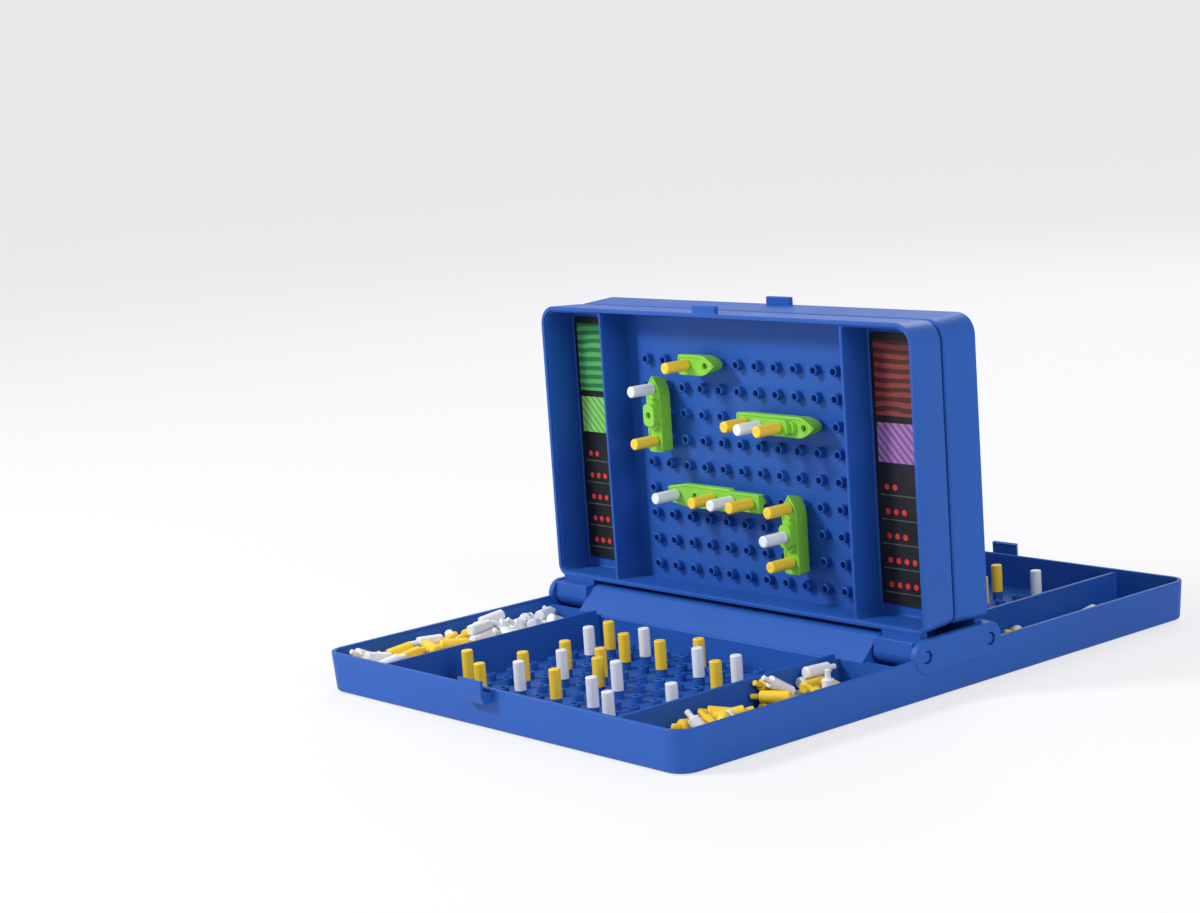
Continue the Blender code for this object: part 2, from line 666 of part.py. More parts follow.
def add_carrier(bm, holes):
    """A thin flight deck; the hull that it overhangs is joined on afterwards."""
    middle = SHIP_DECK - FLIGHT_DECK_THICKNESS / 2
    add_outline(bm, flight_deck_outline(holes), FLIGHT_DECK_THICKNESS, Matrix.Translation((0, 0, middle)))


def make_ship(name, holes, raised):
    carrier = holes == CARRIER_HOLES
    bm = bmesh.new()
    if carrier:
        add_carrier(bm, holes)
    else:
        height = SHIP_DECK - PEG_SEAT
        add_outline(bm, hull_outline(holes), height, Matrix.Translation((0, 0, PEG_SEAT + height / 2)))
    ship = add_object(name, to_mesh(name, bm), PARTS)

    if carrier:
        bm = bmesh.new()
        end = STERN_OVERHANG - CARRIER_INSET
        add_block(
            bm, (-end, -CARRIER_HALF_BEAM, PEG_SEAT),
            ((holes - 1) * PITCH + end, CARRIER_HALF_BEAM, SHIP_DECK - FLIGHT_DECK_THICKNESS + INSIDE),
        )
        combine(ship, name + "_hull", bm, "UNION")

    if raised:
        bm = bmesh.new()
        first, last = raised[0] * PITCH, raised[-1] * PITCH
        add_block(
            bm, (first - BRIDGE_OVERHANG, -BRIDGE_HALF_BEAM, SHIP_DECK - INSIDE),
            (last + BRIDGE_OVERHANG, BRIDGE_HALF_BEAM, SHIP_BRIDGE),
        )
        combine(ship, name + "_bridge", bm, "UNION")

    bm = bmesh.new()
    for cell in (0, holes - 1):
        x = cell * PITCH
        add_rod(bm, SHANK_RADIUS, (x, 0, -SHIP_PIN_LENGTH), (x, 0, PEG_SEAT + INSIDE), PEG_SIDES)
    combine(ship, name + "_pins", bm, "UNION")

    bm = bmesh.new()
    for cell in range(holes):
        top = SHIP_BRIDGE if cell in raised else SHIP_DECK
        x = cell * PITCH
        add_rod(bm, HOLE_RADIUS, (x, 0, top - DECK_HOLE_DEPTH), (x, 0, top + INSIDE), HOLE_SIDES)
    combine(ship, name + "_deck_holes", bm, "DIFFERENCE")
    freeze(ship)
    return ship


def make_peg_mesh():
    """A peg turned about Z: a plain head above its shoulder at Z = 0 and a thin shank below."""
    profile = (
        (0.0, PEG_LENGTH),
        (PEG_RADIUS - PEG_CHAMFER, PEG_LENGTH),
        (PEG_RADIUS, PEG_LENGTH - PEG_CHAMFER),
        (PEG_RADIUS, 0.0),
        (SHANK_RADIUS, 0.0),
        (SHANK_RADIUS, -SHANK_LENGTH),
        (0.0, -SHANK_LENGTH),
    )
    bm = bmesh.new()
    corners = [bm.verts.new((x, 0.0, z)) for x, z in profile]
    for a, b in zip(corners, corners[1:]):
        bm.edges.new((a, b))
    peg = add_object("peg_profile", to_mesh("peg", bm), PARTS)
    turn = peg.modifiers.new("turned", "SCREW")
    turn.steps = PEG_SIDES
    turn.render_steps = PEG_SIDES
    turn.use_merge_vertices = True
    turn.merge_threshold = 1e-6
    bpy.context.view_layer.update()
    mesh = bpy.data.meshes.new_from_object(peg.evaluated_get(bpy.context.evaluated_depsgraph_get()))
    bpy.data.objects.remove(peg, do_unlink=True)
    return mesh


def make_card(name, side, left_right):
    floor = -RIM_GAP / 2 - LID_DEPTH + FLOOR + SEAT_GAP
    inner = CHANNEL_INNER + CARD_SIDE_GAP
    outer = CHANNEL_OUTER - DRAFT - CARD_SIDE_GAP
    x = sorted((left_right * inner, left_right * outer))
    low = (x[0], HINGE_RISE + CAVITY_WALL + CARD_END_GAP, floor)
    high = (x[1], REACH - CAVITY_WALL - CARD_END_GAP, floor + CARD_THICKNESS)
    bm = bmesh.new()
    add_block(bm, low, high)
    return add_object(name, to_mesh(name, bm), PARTS, lid_place(side))


def finish(item, material):
    item.data.materials.append(material)


def main():
    materials = {name: make_material(name, *look) for name, look in FINISHES.items()}
    finish(make_base(), materials["case_blue"])
    lid = make_lid()
    finish(lid, materials["case_blue"])
    lid.matrix_world = lid_place("front")
    add_object("lid_rear", lid.data, PARTS, lid_place("rear"))

    for side in SIDES:
        for word, left_right in (("left", -1), ("right", 1)):
            finish(make_card(f"card_{side}_{word}", side, left_right), materials["card_print"])

    hulls = {}
    places = {}
    for side, fleet in FLEETS.items():
        for word, holes, column, row, heading, raised in fleet:
            name = f"ship_{side}_{word}"
            if word in hulls:
                ship = add_object(name, hulls[word], PARTS)
            else:
                ship = make_ship(name, holes, raised)
                hulls[word] = ship.data
                finish(ship, materials["ship_green"])
            course = Matrix.Rotation(math.pi / 2 if heading == "up" else 0.0, 4, "Z")
            ship.matrix_world = lid_hole(side, column, row) @ course
            places[side, word] = ship.matrix_world.copy(), raised

    heads = {}
    for colour in ("yellow", "white"):
        heads[colour] = make_peg_mesh()
        heads[colour].materials.append(materials["peg_" + colour])
        heads[colour].shade_smooth()
        heads[colour].set_sharp_from_angle(angle=SHARP_ANGLE)
    for side, pegs in BASE_PEGS.items():
        for number, (column, row, colour) in enumerate(pegs, 1):
            seat = base_hole(side, column, row) @ Matrix.Translation((0, 0, PEG_SEAT))
            add_object(f"peg_{side}_base_{number:02d}", heads[colour], PARTS, seat)
    for side, pegs in SHIP_PEGS.items():
        for number, (word, cell, colour) in enumerate(pegs, 1):
            place, raised = places[side, word]
            deck = SHIP_BRIDGE if cell in raised else SHIP_DECK
            seat = place @ Matrix.Translation((cell * PITCH, 0, deck + SEAT_GAP))
            add_object(f"peg_{side}_ship_{number:02d}", heads[colour], PARTS, seat)


clear_scene()
PARTS = new_collection("fleet_guessing_case")
CUTTERS = new_collection("cutters")
main()
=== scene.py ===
"""Looks of the folding guessing case: mouldings, ships, pegs, cards, floor, light and camera.

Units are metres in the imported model's frame: +Z is up, +X runs along the hinges, the front player
sits at -Y. A lid is modelled lying down with its rim up and its hinge axis on X, then stood up.
"""

import json
import math
import random

import bmesh
import bpy
from mathutils import Matrix, Vector


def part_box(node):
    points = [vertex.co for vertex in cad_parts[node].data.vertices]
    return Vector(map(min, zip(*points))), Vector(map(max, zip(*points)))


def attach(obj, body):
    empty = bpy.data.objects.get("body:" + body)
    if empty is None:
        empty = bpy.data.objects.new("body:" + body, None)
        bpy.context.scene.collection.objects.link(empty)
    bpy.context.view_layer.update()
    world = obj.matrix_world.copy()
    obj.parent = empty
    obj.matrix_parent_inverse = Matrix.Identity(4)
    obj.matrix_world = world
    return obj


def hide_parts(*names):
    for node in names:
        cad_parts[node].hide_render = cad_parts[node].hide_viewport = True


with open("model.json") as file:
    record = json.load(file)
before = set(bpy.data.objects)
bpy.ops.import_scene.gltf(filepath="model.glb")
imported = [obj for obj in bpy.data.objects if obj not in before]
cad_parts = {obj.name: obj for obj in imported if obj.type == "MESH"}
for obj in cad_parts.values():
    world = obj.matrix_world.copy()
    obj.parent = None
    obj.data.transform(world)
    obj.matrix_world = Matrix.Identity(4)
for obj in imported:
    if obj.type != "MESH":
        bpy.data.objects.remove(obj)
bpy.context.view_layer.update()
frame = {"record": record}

MM = 0.001
TOUCH = 0.02 * MM              # two places closer than this count as one
FACING = 0.5                   # a face whose normal reaches this far up or down counts as facing that way
STEEP = 0.9                    # the same for a nearly level face, and for an edge along Z

# Grid of peg holes
PITCH = 12.0 * MM
COLUMNS = 11
ROWS = 9
HOLE_RADIUS = 1.52 * MM
HOLE_SIDES = 12
BOSS_RADIUS = 2.35 * MM        # tube round every peg hole, at its top
BOSS_FOOT_RADIUS = 2.55 * MM
BOSS_HEIGHT = 3.2 * MM
BOSS_ROUND = 0.3 * MM

# Hinge axes and the heights of the base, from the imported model
HINGE = next(joint for joint in frame["record"]["behaviour"]["joints"] if joint["name"] == "lid_front_hinge")
AXIS_Y = -HINGE["pos_m"][1]
AXIS_Z = HINGE["pos_m"][2]
RIM_GAP = 0.4 * MM
RIM = AXIS_Z - RIM_GAP / 2
SHIP_BOARD_DEPTH = 13.5 * MM   # rim to the plane from which ships are measured
BOSS_DEPTH = 12.7 * MM         # rim to the tops of the bosses
BOARD_DEPTH = BOSS_DEPTH + BOSS_HEIGHT
BOARD_THICKNESS = 1.3 * MM
FLOOR = 2.0 * MM
BASE_GUTTER = 1.5 * MM         # floor of the gutters beside the base's pegboards
DECK = RIM - 3.6 * MM
LID_DEPTH = 19.0 * MM

# Plan of the mouldings
HALF_WIDTH = 118.0 * MM
PAD_HALF = 68.4 * MM
WELL_HALF = 76.0 * MM
CHANNEL_INNER = 77.6 * MM
CHANNEL_OUTER = 115.6 * MM
WALL = 2.0 * MM
CAVITY_WALL = 2.4 * MM
HINGE_RISE = 8.4 * MM          # hinge axis to a lid's lower wall
FIRST_ROW = 18.0 * MM          # hinge axis to the first row of holes
REACH = 138.4 * MM             # hinge axis to the free end
DECK_END = 12.0 * MM           # hinge axis to the end of the deck
HALF_LENGTH = AXIS_Y + REACH
WELL_START = AXIS_Y + DECK_END  # wells and trays of the base, from the middle of the case
WELL_END = HALF_LENGTH - CAVITY_WALL
LIP_DEPTH = 1.2 * MM
DRAFT = 1.0 * MM
CORNER = 9.0 * MM
HINGE_CORNER = 5.5 * MM        # a lid's corners beside its hinges
HOLLOW_MARGIN = 2.0 * MM

# Hinges and latches
PIN_RADIUS = 2.5 * MM
PIN_HOLE = 2.9 * MM
PIN_END = 117.6 * MM
PIN_SIDES = 32
BAR_RADIUS = 7.2 * MM
BAR_INNER = 115.2 * MM
BAR_OUTER = 118.4 * MM
BAR_SIDES = 40
BAR_ROUND = 0.8 * MM
BAR_INNER_ROUND = 0.3 * MM
KNUCKLE_RADIUS = 5.2 * MM
KNUCKLE_INNER = 92.4 * MM
KNUCKLE_OUTER = 114.7 * MM
KNUCKLE_FRONT = 4.4 * MM       # top of a knuckle's flat front, before the hinge axis
KNUCKLE_DROP = 1.9 * MM
KNUCKLE_ROUND = 0.5 * MM
KNUCKLE_FRONT_INSET = 0.3 * MM
KNUCKLE_FRONT_LOW = 0.4 * MM
WEB_INSET = 0.5 * MM
WEB_RAISE = 0.3 * MM
POCKET_INNER = 91.9 * MM
POCKET_REACH = 8.0 * MM
POCKET_BACK = 6.7 * MM
POCKET_DEPTH = 6.5 * MM
POCKET_GAP = 0.1 * MM          # between a pocket and its hinge bar
RIDGE_HALF_WIDTH = 91.4 * MM
RIDGE_TOP = AXIS_Z + 6.4 * MM  # of the ridge under the open lids
RIDGE_LIP = 1.0 * MM           # foot of its ramps to the end of the deck
RIDGE_ROUND = 1.6 * MM
LATCH_OFFSET = 5.0 * MM
LATCH_WIDTH = 15.0 * MM
TONGUE_REACH = 3.5 * MM
TONGUE_THICKNESS = 2.4 * MM
TONGUE_SETBACK = 0.15 * MM
TONGUE_ROUND = 0.5 * MM
FINGER_GAP = 0.3 * MM
FINGER_THICKNESS = 1.5 * MM
NOSE = 0.5 * MM
NOSE_HEIGHT = 0.6 * MM
SHELF_TOP = 1.5 * MM
SHELF_THICKNESS = 4.5 * MM
CATCH_ROUND = 0.25 * MM
CATCH_SHARP = 0.3              # in radians: sharper edges of a catch get rounded

# Rounding of the mouldings
CORNER_STEPS = 8
SMALL_CORNER = 1.4 * MM
FILLET = 0.7 * MM
GUTTER_ROUND = 0.25 * MM
RIM_ROUND = 0.55 * MM
LIP_ROUND = 0.4 * MM
PARTITION_ROUND = 0.45 * MM
DECK_ROUND = 0.8 * MM
FOOT_ROUND = 1.3 * MM
SOFT_STEPS = 3
FEW_STEPS = 2
CHAMFER_STEPS = 1
SHARP = 0.5                    # in radians: an edge between faces that turn more than this
SMOOTH_ANGLE = math.radians(32.0)
SHIP_SMOOTH_ANGLE = math.radians(35.0)
ABOVE = 6.0 * MM               # how far a cutter reaches past the face it opens
INSIDE = 1.0 * MM              # how far a joined piece reaches into its neighbour

# Pegs and ships
PEG_RADIUS = 2.6 * MM
PEG_LENGTH = 13.0 * MM
PEG_SIDES = 24
SHANK_RADIUS = 1.25 * MM
SHANK_LENGTH = 4.0 * MM
SHANK_ROUND = 0.35 * MM
SEAT_ROUND = 0.3 * MM
SEAT_EDGE = 0.8 * PEG_RADIUS   # only the outer edge of a peg's seat lies further out
HEAD_ROUND = 0.6 * MM
DIMPLE_RIM = 1.2 * MM
DIMPLE_SLOPE = 0.15 * MM
DIMPLE_DEPTH = 0.12 * MM
SHIP_FOOT = 1.1 * MM           # pad to the underside of a hull
SHIP_DECK = 8.0 * MM
SHIP_BRIDGE = 11.5 * MM
SHIP_HALF_BEAM = 4.7 * MM
STERN_OVERHANG = 5.5 * MM
BOW_OVERHANG = 5.8 * MM
BOW_LENGTH = 9.0 * MM
BOW_STEPS = 6
BOW_POWER = 1.8
BOW_TIP = 0.06                 # breadth of the stem against the beam
BOW_RAKE = 1.6 * MM            # the stem leans forward by this much
HULL_FLARE = 0.84              # breadth of a hull's bottom against its deck
STERN_ROUND = 1.4 * MM
BULWARK = 0.75 * MM            # thickness of the low wall round a deck
BULWARK_HEIGHT = 0.3 * MM
DECK_EDGE_ROUND = 0.35 * MM
BRIDGE_HALF_BEAM = 3.6 * MM
BRIDGE_OVERHANG = 5.2 * MM     # past the last raised hole
BRIDGE_CORNER = 2.4 * MM
BRIDGE_CORNER_STEPS = 4
BRIDGE_ROUND = 0.45 * MM
STEP_HALF_BEAM = 2.7 * MM
STEP_CORNER = 1.6 * MM
STEP_OVERHANG = 7.2 * MM       # the low step under a bridge reaches further
STEP_HEIGHT = 1.5 * MM
DECK_HOLE_DEPTH = 5.0 * MM
DECK_RING_RADIUS = 2.2 * MM
SHIP_PIN_LENGTH = 2.6 * MM
SHIP_PIN_ROUND = 0.3 * MM
CARRIER_HOLES = 5
CARRIER_INSET = 2.0 * MM
CARRIER_HALF_BEAM = 3.6 * MM
CARRIER_SHOULDER = 0.82        # breadth of its hull against the beam, half way along the bow
CARRIER_TIP = 0.3              # and at the tip
CARRIER_FOOT_ROUND = 0.4 * MM
FLIGHT_DECK_THICKNESS = 3.0 * MM
FLIGHT_DECK_HALF_BEAM = 5.3 * MM
STERN_TAPER = 1.8 * MM         # a flight deck is this much narrower at each side of its stern
BOW_TAPER = 1.1 * MM
DECK_STEP = 1.5 * MM           # length of the slant where the flight deck gets narrower

# Loose pegs, which fall into the trays, enlarged for the solver
LOOSE_PEG_SIDES = 12
FALL_SCALE = 100.0
FALL_FRAMES = 130
FALL_SEED = 11
FALL_MARGIN = 0.004
FALL_STEP = 6.5 * MM           # from one peg of a pile to the next
FALL_SPREAD = 0.8 * MM
FALL_FRICTION = 0.9
FALL_BOUNCE = 0.02
FALL_DRAG = 0.7
FALL_SPIN_DRAG = 0.7
FALL_ITERATIONS = 30
GUIDE_HEIGHT = 120.0 * MM
GUIDE_THICKNESS = 8.0 * MM

# Each tray: name, side and end of the case, the middle and half the width of the band where its pegs
# fall, how far they turn away from the tray's length, and their piles, each with its distance from the
# hinge axis and how many of its pegs are yellow and white
LOOSE_PEGS = (
    ("front_left", -1, -1, 99.0 * MM, 15.0 * MM, math.radians(14.0), (
        (123.0 * MM, 4, 9), (104.0 * MM, 12, 2), (85.0 * MM, 10, 4), (66.0 * MM, 3, 11), (47.0 * MM, 0, 14),
        (28.0 * MM, 0, 13),
    )),
    ("front_right", 1, -1, 90.0 * MM, 11.0 * MM, math.radians(55.0), (
        (108.0 * MM, 5, 3), (89.0 * MM, 4, 1), (52.0 * MM, 6, 3), (33.0 * MM, 5, 4),
    )),
    ("rear_left", -1, 1, 95.0 * MM, 14.0 * MM, math.radians(50.0), ((118.0 * MM, 3, 2), (64.0 * MM, 2, 3))),
    ("rear_right", 1, 1, 97.0 * MM, 14.0 * MM, math.radians(50.0), ((104.0 * MM, 2, 3), (50.0 * MM, 3, 2))),
)

# Printed cards, measured from the end that is uppermost
CARD_CORNER = 1.0 * MM
CARD_BORDER = 1.8 * MM
CARD_PANEL_ROWS = ((3.0 * MM, 32.0 * MM), (38.0 * MM, 17.0 * MM))
CARD_ROW_STEP = 10.5 * MM
CARD_LINE_DROP = 3.2 * MM
CARD_LINE_WIDTH = 0.5 * MM
CARD_DOTS = (2, 3, 3, 4, 5)
CARD_DOT_RADIUS = 1.3 * MM
CARD_DOT_STEP = 4.6 * MM
CARD_DOT_INSET = 4.0 * MM
CARD_INK = 0.05 * MM

# Looks of plastic and of printed card
DRIFT_SCALE = 28.0
DRIFT_RANGE = (0.3, 0.7)
GLOSS_DRIFT = 0.05
GRAIN_STRENGTH = 0.25
INK_EDGE = (0.4, 0.6)          # where a pattern changes from one ink to the other
WAVE_DETAIL_SCALE = 0.8
CARD_TOOTH_SCALE = 1400.0
CARD_TOOTH = 0.02 * MM
CARD_ROUGHNESS = 0.42
CARD_GLEAM = 0.30

LEFT_RIGHT = (-1, 1)
FRONT_REAR = (-1, 1)
TURN = {"front": Matrix.Identity(4), "rear": Matrix.Rotation(math.pi, 4, "Z")}

# Ships: holes and raised cells
SHIPS = {
    "two_hole": (2, ()),
    "three_hole_a": (3, (1,)),
    "four_hole": (4, (1, 2)),
    "five_hole": (CARRIER_HOLES, ()),
    "three_hole_b": (3, (1,)),
}

# Where they stand on each lid: column and row of the stern, and heading
FLEETS = {
    "front": {
        "two_hole": (3, 8, "right"),
        "three_hole_a": (1, 5, "up"),
        "four_hole": (6, 6, "right"),
        "five_hole": (2, 3, "right"),
        "three_hole_b": (8, 1, "up"),
    },
    "rear": {
        "two_hole": (3, 1, "right"),
        "three_hole_a": (5, 4, "right"),
        "four_hole": (1, 2, "up"),
        "five_hole": (4, 7, "right"),
        "three_hole_b": (9, 1, "up"),
    },
}


# Modelling by hand: primitives, selections and operators

def only(item):
    """Makes one object the only selected and the active one."""
    bpy.ops.object.select_all(action="DESELECT")
    item.select_set(True)
    bpy.context.view_layer.objects.active = item


def take_new(name):
    """Names the primitive just added and puts its place and size into its mesh."""
    item = bpy.context.object
    item.name = name
    item.data.name = name
    bpy.ops.object.transform_apply(location=True, rotation=True, scale=True)
    return item


def block(name, low, high):
    low = Vector(low)
    high = Vector(high)
    bpy.ops.object.select_all(action="DESELECT")
    bpy.ops.mesh.primitive_cube_add(size=1.0, location=(low + high) / 2, scale=high - low)
    return take_new(name)


def rod(name, radius, start, end, sides, turn=0.0):
    """A round bar between two points; turn spins it about its own axis."""
    start = Vector(start)
    end = Vector(end)
    aim = (end - start).to_track_quat("Z", "Y").to_matrix() @ Matrix.Rotation(turn, 3, "Z")
    bpy.ops.object.select_all(action="DESELECT")
    bpy.ops.mesh.primitive_cylinder_add(
        vertices=sides, radius=radius, depth=(end - start).length,
        location=(start + end) / 2, rotation=aim.to_euler(),
    )
    return take_new(name)


def pick(item, kind, test):
    """Goes into edit mode with only the vertices, edges or faces that pass the test selected."""
    only(item)
    bpy.ops.object.mode_set(mode="EDIT")
    bpy.ops.mesh.select_mode(type=kind)
    bpy.ops.mesh.select_all(action="DESELECT")
    shape = bmesh.from_edit_mesh(item.data)
    for part in {"VERT": shape.verts, "EDGE": shape.edges, "FACE": shape.faces}[kind]:
        if test(part):
            part.select = True
    shape.select_flush_mode()
    bmesh.update_edit_mesh(item.data)


def leave():
    bpy.ops.object.mode_set(mode="OBJECT")


def span(sign, inner, outer):
    """Two places on one side of the middle, the lower one first."""
    return sorted((sign * inner, sign * outer))


def looks_up(face):
    return face.normal.z > FACING


def looks_down(face):
    return face.normal.z < -FACING


def on_top(face, z):
    return face.normal.z > STEEP and abs(face.calc_center_median().z - z) < TOUCH


def upright(edge):
    step = edge.verts[1].co - edge.verts[0].co
    return abs(step.z) > STEEP * step.length


def sharp(edge, angle=SHARP):
    return edge.calc_face_angle(0) > angle


def level(edge, z):
    return all(abs(v.co.z - z) < TOUCH for v in edge.verts)


def at_x(edge, x):
    return all(abs(abs(v.co.x) - x) < TOUCH for v in edge.verts)


def at_y(edge, y):
    return all(abs(v.co.y - y) < TOUCH for v in edge.verts)


def middle(edge):
    return (edge.verts[0].co + edge.verts[1].co) / 2


def round_edges(item, test, radius, steps=SOFT_STEPS):
    pick(item, "EDGE", test)
    bpy.ops.mesh.bevel(offset=radius, segments=steps, profile=0.5, affect="EDGES")
    leave()


def move_points(item, test, step):
    pick(item, "VERT", test)
    bpy.ops.transform.translate(value=step)
    leave()


def scale_points(item, test, factors, centre):
    pick(item, "VERT", test)
    bpy.ops.transform.resize(value=factors, center_override=centre)
    leave()


def slice_at(item, point, normal):
    """A cut right round the piece, which leaves both halves in place."""
    pick(item, "FACE", lambda face: True)
    bpy.ops.mesh.bisect(plane_co=point, plane_no=normal)
    leave()


def pull_faces(item, test, step):
    pick(item, "FACE", test)
    bpy.ops.mesh.extrude_region_move(TRANSFORM_OT_translate={"value": step})
    leave()


def combine(item, tool, operation):
    only(item)
    step = item.modifiers.new("combine", "BOOLEAN")
    step.operation = operation
    step.object = tool
    step.solver = "MANIFOLD"
    bpy.ops.object.modifier_apply(modifier=step.name)
    bpy.data.objects.remove(tool, do_unlink=True)


def cut(item, *tools):
    for tool in tools:
        combine(item, tool, "DIFFERENCE")


def fuse(item, *tools):
    for tool in tools:
        combine(item, tool, "UNION")


def repeat(item, count, step):
    """Copies in a row, all in one mesh."""
    only(item)
    row = item.modifiers.new("row", "ARRAY")
    row.count = count
    row.use_relative_offset = False
    row.use_constant_offset = True
    row.constant_offset_displace = step
    bpy.ops.object.modifier_apply(modifier=row.name)


def join(items):
    bpy.ops.object.select_all(action="DESELECT")
    for item in items:
        item.select_set(True)
    bpy.context.view_layer.objects.active = items[0]
    bpy.ops.object.join()
    return items[0]


def copy_of(item, name):
    twin = item.copy()
    twin.data = item.data.copy()
    twin.name = name
    twin.data.name = name
    bpy.context.scene.collection.objects.link(twin)
    return twin


def put(item, place):
    """Moves a finished mesh to its place and leaves the object at the origin."""
    only(item)
    item.matrix_world = place
    bpy.ops.object.transform_apply(location=True, rotation=True, scale=True)


def smooth(item, angle=SMOOTH_ANGLE):
    """Smooth shading across rounded edges, with the large flat faces kept flat."""
    only(item)
    bpy.ops.object.shade_smooth_by_angle(angle=angle)
    flat = item.modifiers.new("flat_faces", "WEIGHTED_NORMAL")
    flat.keep_sharp = True
    bpy.ops.object.modifier_apply(modifier=flat.name)


def hand_over(item, material, body, slot, *nodes):
    """Gives a finished piece its material and its body, and hides the CAD nodes that it stands for."""
    if material:
        item.data.materials.clear()
        item.data.materials.append(material)
    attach(item, body)
    if nodes:
        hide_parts(*nodes)


# Materials

def new_material(name):
    material = bpy.data.materials.new(name)
    material.use_nodes = True
    return material, material.node_tree, material.node_tree.nodes["Principled BSDF"]


def add_node(tree, kind, **values):
    """A shader node; a value goes into the socket of that name, or else into the node's setting."""
    node = tree.nodes.new(kind)
    for key, value in values.items():
        if key in node.inputs:
            node.inputs[key].default_value = value
        else:
            setattr(node, key, value)
    return node


def map_range(tree, value, source, target, **values):
    """Takes a changing value from one range to another."""
    node = add_node(tree, "ShaderNodeMapRange", **values)
    for name, number in zip(("From Min", "From Max", "To Min", "To Max"), (*source, *target)):
        node.inputs[name].default_value = number
    tree.links.new(value, node.inputs["Value"])
    return node.outputs["Result"]


def mix_colours(tree, share, colour, tint, shader):
    """Two colours in a changing share, as the surface's colour."""
    blend = add_node(tree, "ShaderNodeMix", data_type="RGBA")
    colours = [socket for socket in blend.inputs if socket.type == "RGBA"]
    for socket, value in zip(colours, (colour, tint)):
        socket.default_value = (*value, 1.0)
    tree.links.new(share, blend.inputs["Factor"])
    tree.links.new(next(s for s in blend.outputs if s.type == "RGBA"), shader.inputs["Base Color"])


def add_grain(tree, place, scale, depth, shader):
    """A fine unevenness of the surface."""
    speckle = add_node(tree, "ShaderNodeTexNoise", Scale=scale, Detail=2.0, Roughness=0.5)
    tree.links.new(place.outputs["Object"], speckle.inputs["Vector"])
    bump = add_node(tree, "ShaderNodeBump", Strength=GRAIN_STRENGTH, Distance=depth)
    tree.links.new(speckle.outputs["Fac"], bump.inputs["Height"])
    tree.links.new(bump.outputs["Normal"], shader.inputs["Normal"])


def plastic(name, colour, tint, roughness, gleam, grain, depth):
    """Moulded plastic: a faint drift of colour and gloss, and a fine grain from the mould."""
    material, tree, shader = new_material(name)
    place = add_node(tree, "ShaderNodeTexCoord")
    drift = add_node(tree, "ShaderNodeTexNoise", Scale=DRIFT_SCALE, Detail=3.0, Roughness=0.55)
    tree.links.new(place.outputs["Object"], drift.inputs["Vector"])
    mix_colours(tree, drift.outputs["Fac"], colour, tint, shader)
    limits = (roughness - GLOSS_DRIFT, roughness + GLOSS_DRIFT)
    gloss = map_range(tree, drift.outputs["Fac"], DRIFT_RANGE, limits)
    tree.links.new(gloss, shader.inputs["Roughness"])
    add_grain(tree, place, grain, depth, shader)
    shader.inputs["Specular IOR Level"].default_value = gleam
    return material


def printed(name, colour, tint, kind, scale, distortion=0.0):
    """Printed card: two inks in bands, waves or a mottle, on the faint tooth of the card."""
    material, tree, shader = new_material(name)
    place = add_node(tree, "ShaderNodeTexCoord")
    if kind == "mottle":
        pattern = add_node(tree, "ShaderNodeTexNoise", Scale=scale, Detail=4.0, Roughness=0.6)
    else:
        pattern = add_node(tree, "ShaderNodeTexWave", Scale=scale, Distortion=distortion, Detail=1.0)
        pattern.bands_direction = kind
        pattern.inputs["Detail Scale"].default_value = WAVE_DETAIL_SCALE
    tree.links.new(place.outputs["Object"], pattern.inputs["Vector"])
    ink = map_range(tree, pattern.outputs["Fac"], INK_EDGE, (0.0, 1.0), interpolation_type="SMOOTHSTEP")
    mix_colours(tree, ink, colour, tint, shader)
    add_grain(tree, place, CARD_TOOTH_SCALE, CARD_TOOTH, shader)
    shader.inputs["Roughness"].default_value = CARD_ROUGHNESS
    shader.inputs["Specular IOR Level"].default_value = CARD_GLEAM
    return material


CASE_BLUE = plastic(
    "case_blue_moulded", (0.013, 0.081, 0.360), (0.019, 0.100, 0.420),
    roughness=0.46, gleam=0.22, grain=2600.0, depth=0.06 * MM,
)
SHIP_GREEN = plastic(
    "ship_green_moulded", (0.200, 0.550, 0.040), (0.250, 0.630, 0.055),
    roughness=0.40, gleam=0.30, grain=1900.0, depth=0.05 * MM,
)
CARD_BLACK = printed("card_black_ink", (0.006, 0.006, 0.008), (0.011, 0.011, 0.014), "mottle", 90.0)
CARD_LINE = printed("card_line_ink", (0.060, 0.085, 0.070), (0.085, 0.115, 0.095), "mottle", 300.0)
CARD_RED = printed("card_red_ink", (0.620, 0.030, 0.022), (0.700, 0.050, 0.034), "mottle", 500.0)
CARD_PANELS = {
    "left": (
        printed("card_green_waves", (0.020, 0.150, 0.045), (0.075, 0.360, 0.100), "Z", 75.0, 2.2),
        printed("card_leaf_hatch", (0.110, 0.380, 0.070), (0.240, 0.560, 0.140), "DIAGONAL", 150.0),
    ),
    "right": (
        printed("card_rust_waves", (0.075, 0.014, 0.012), (0.230, 0.045, 0.036), "Z", 75.0, 2.2),
        printed("card_violet_hatch", (0.210, 0.080, 0.270), (0.360, 0.190, 0.430), "DIAGONAL", 150.0),
    ),
}
PEG_COLOURS = {
    slot: plastic(slot + "_moulded", colour, tint, roughness=0.36, gleam=0.30, grain=1700.0, depth=0.04 * MM)
    for slot, colour, tint in (
        ("peg_yellow", (0.860, 0.560, 0.034), (0.910, 0.630, 0.050)),
        ("peg_white", (0.760, 0.765, 0.800), (0.830, 0.835, 0.860)),
    )
}


# Mouldings

def round_corners(item, hinge_corner, free_corner):
    """Rounds a block's upright edges: free_corner at its +Y end, hinge_corner at its -Y end."""
    centre = sum(v.co.y for v in item.data.vertices) / len(item.data.vertices)
    round_edges(item, lambda e: upright(e) and middle(e).y > centre, free_corner, CORNER_STEPS)
    round_edges(item, lambda e: upright(e) and middle(e).y < centre, hinge_corner, CORNER_STEPS)


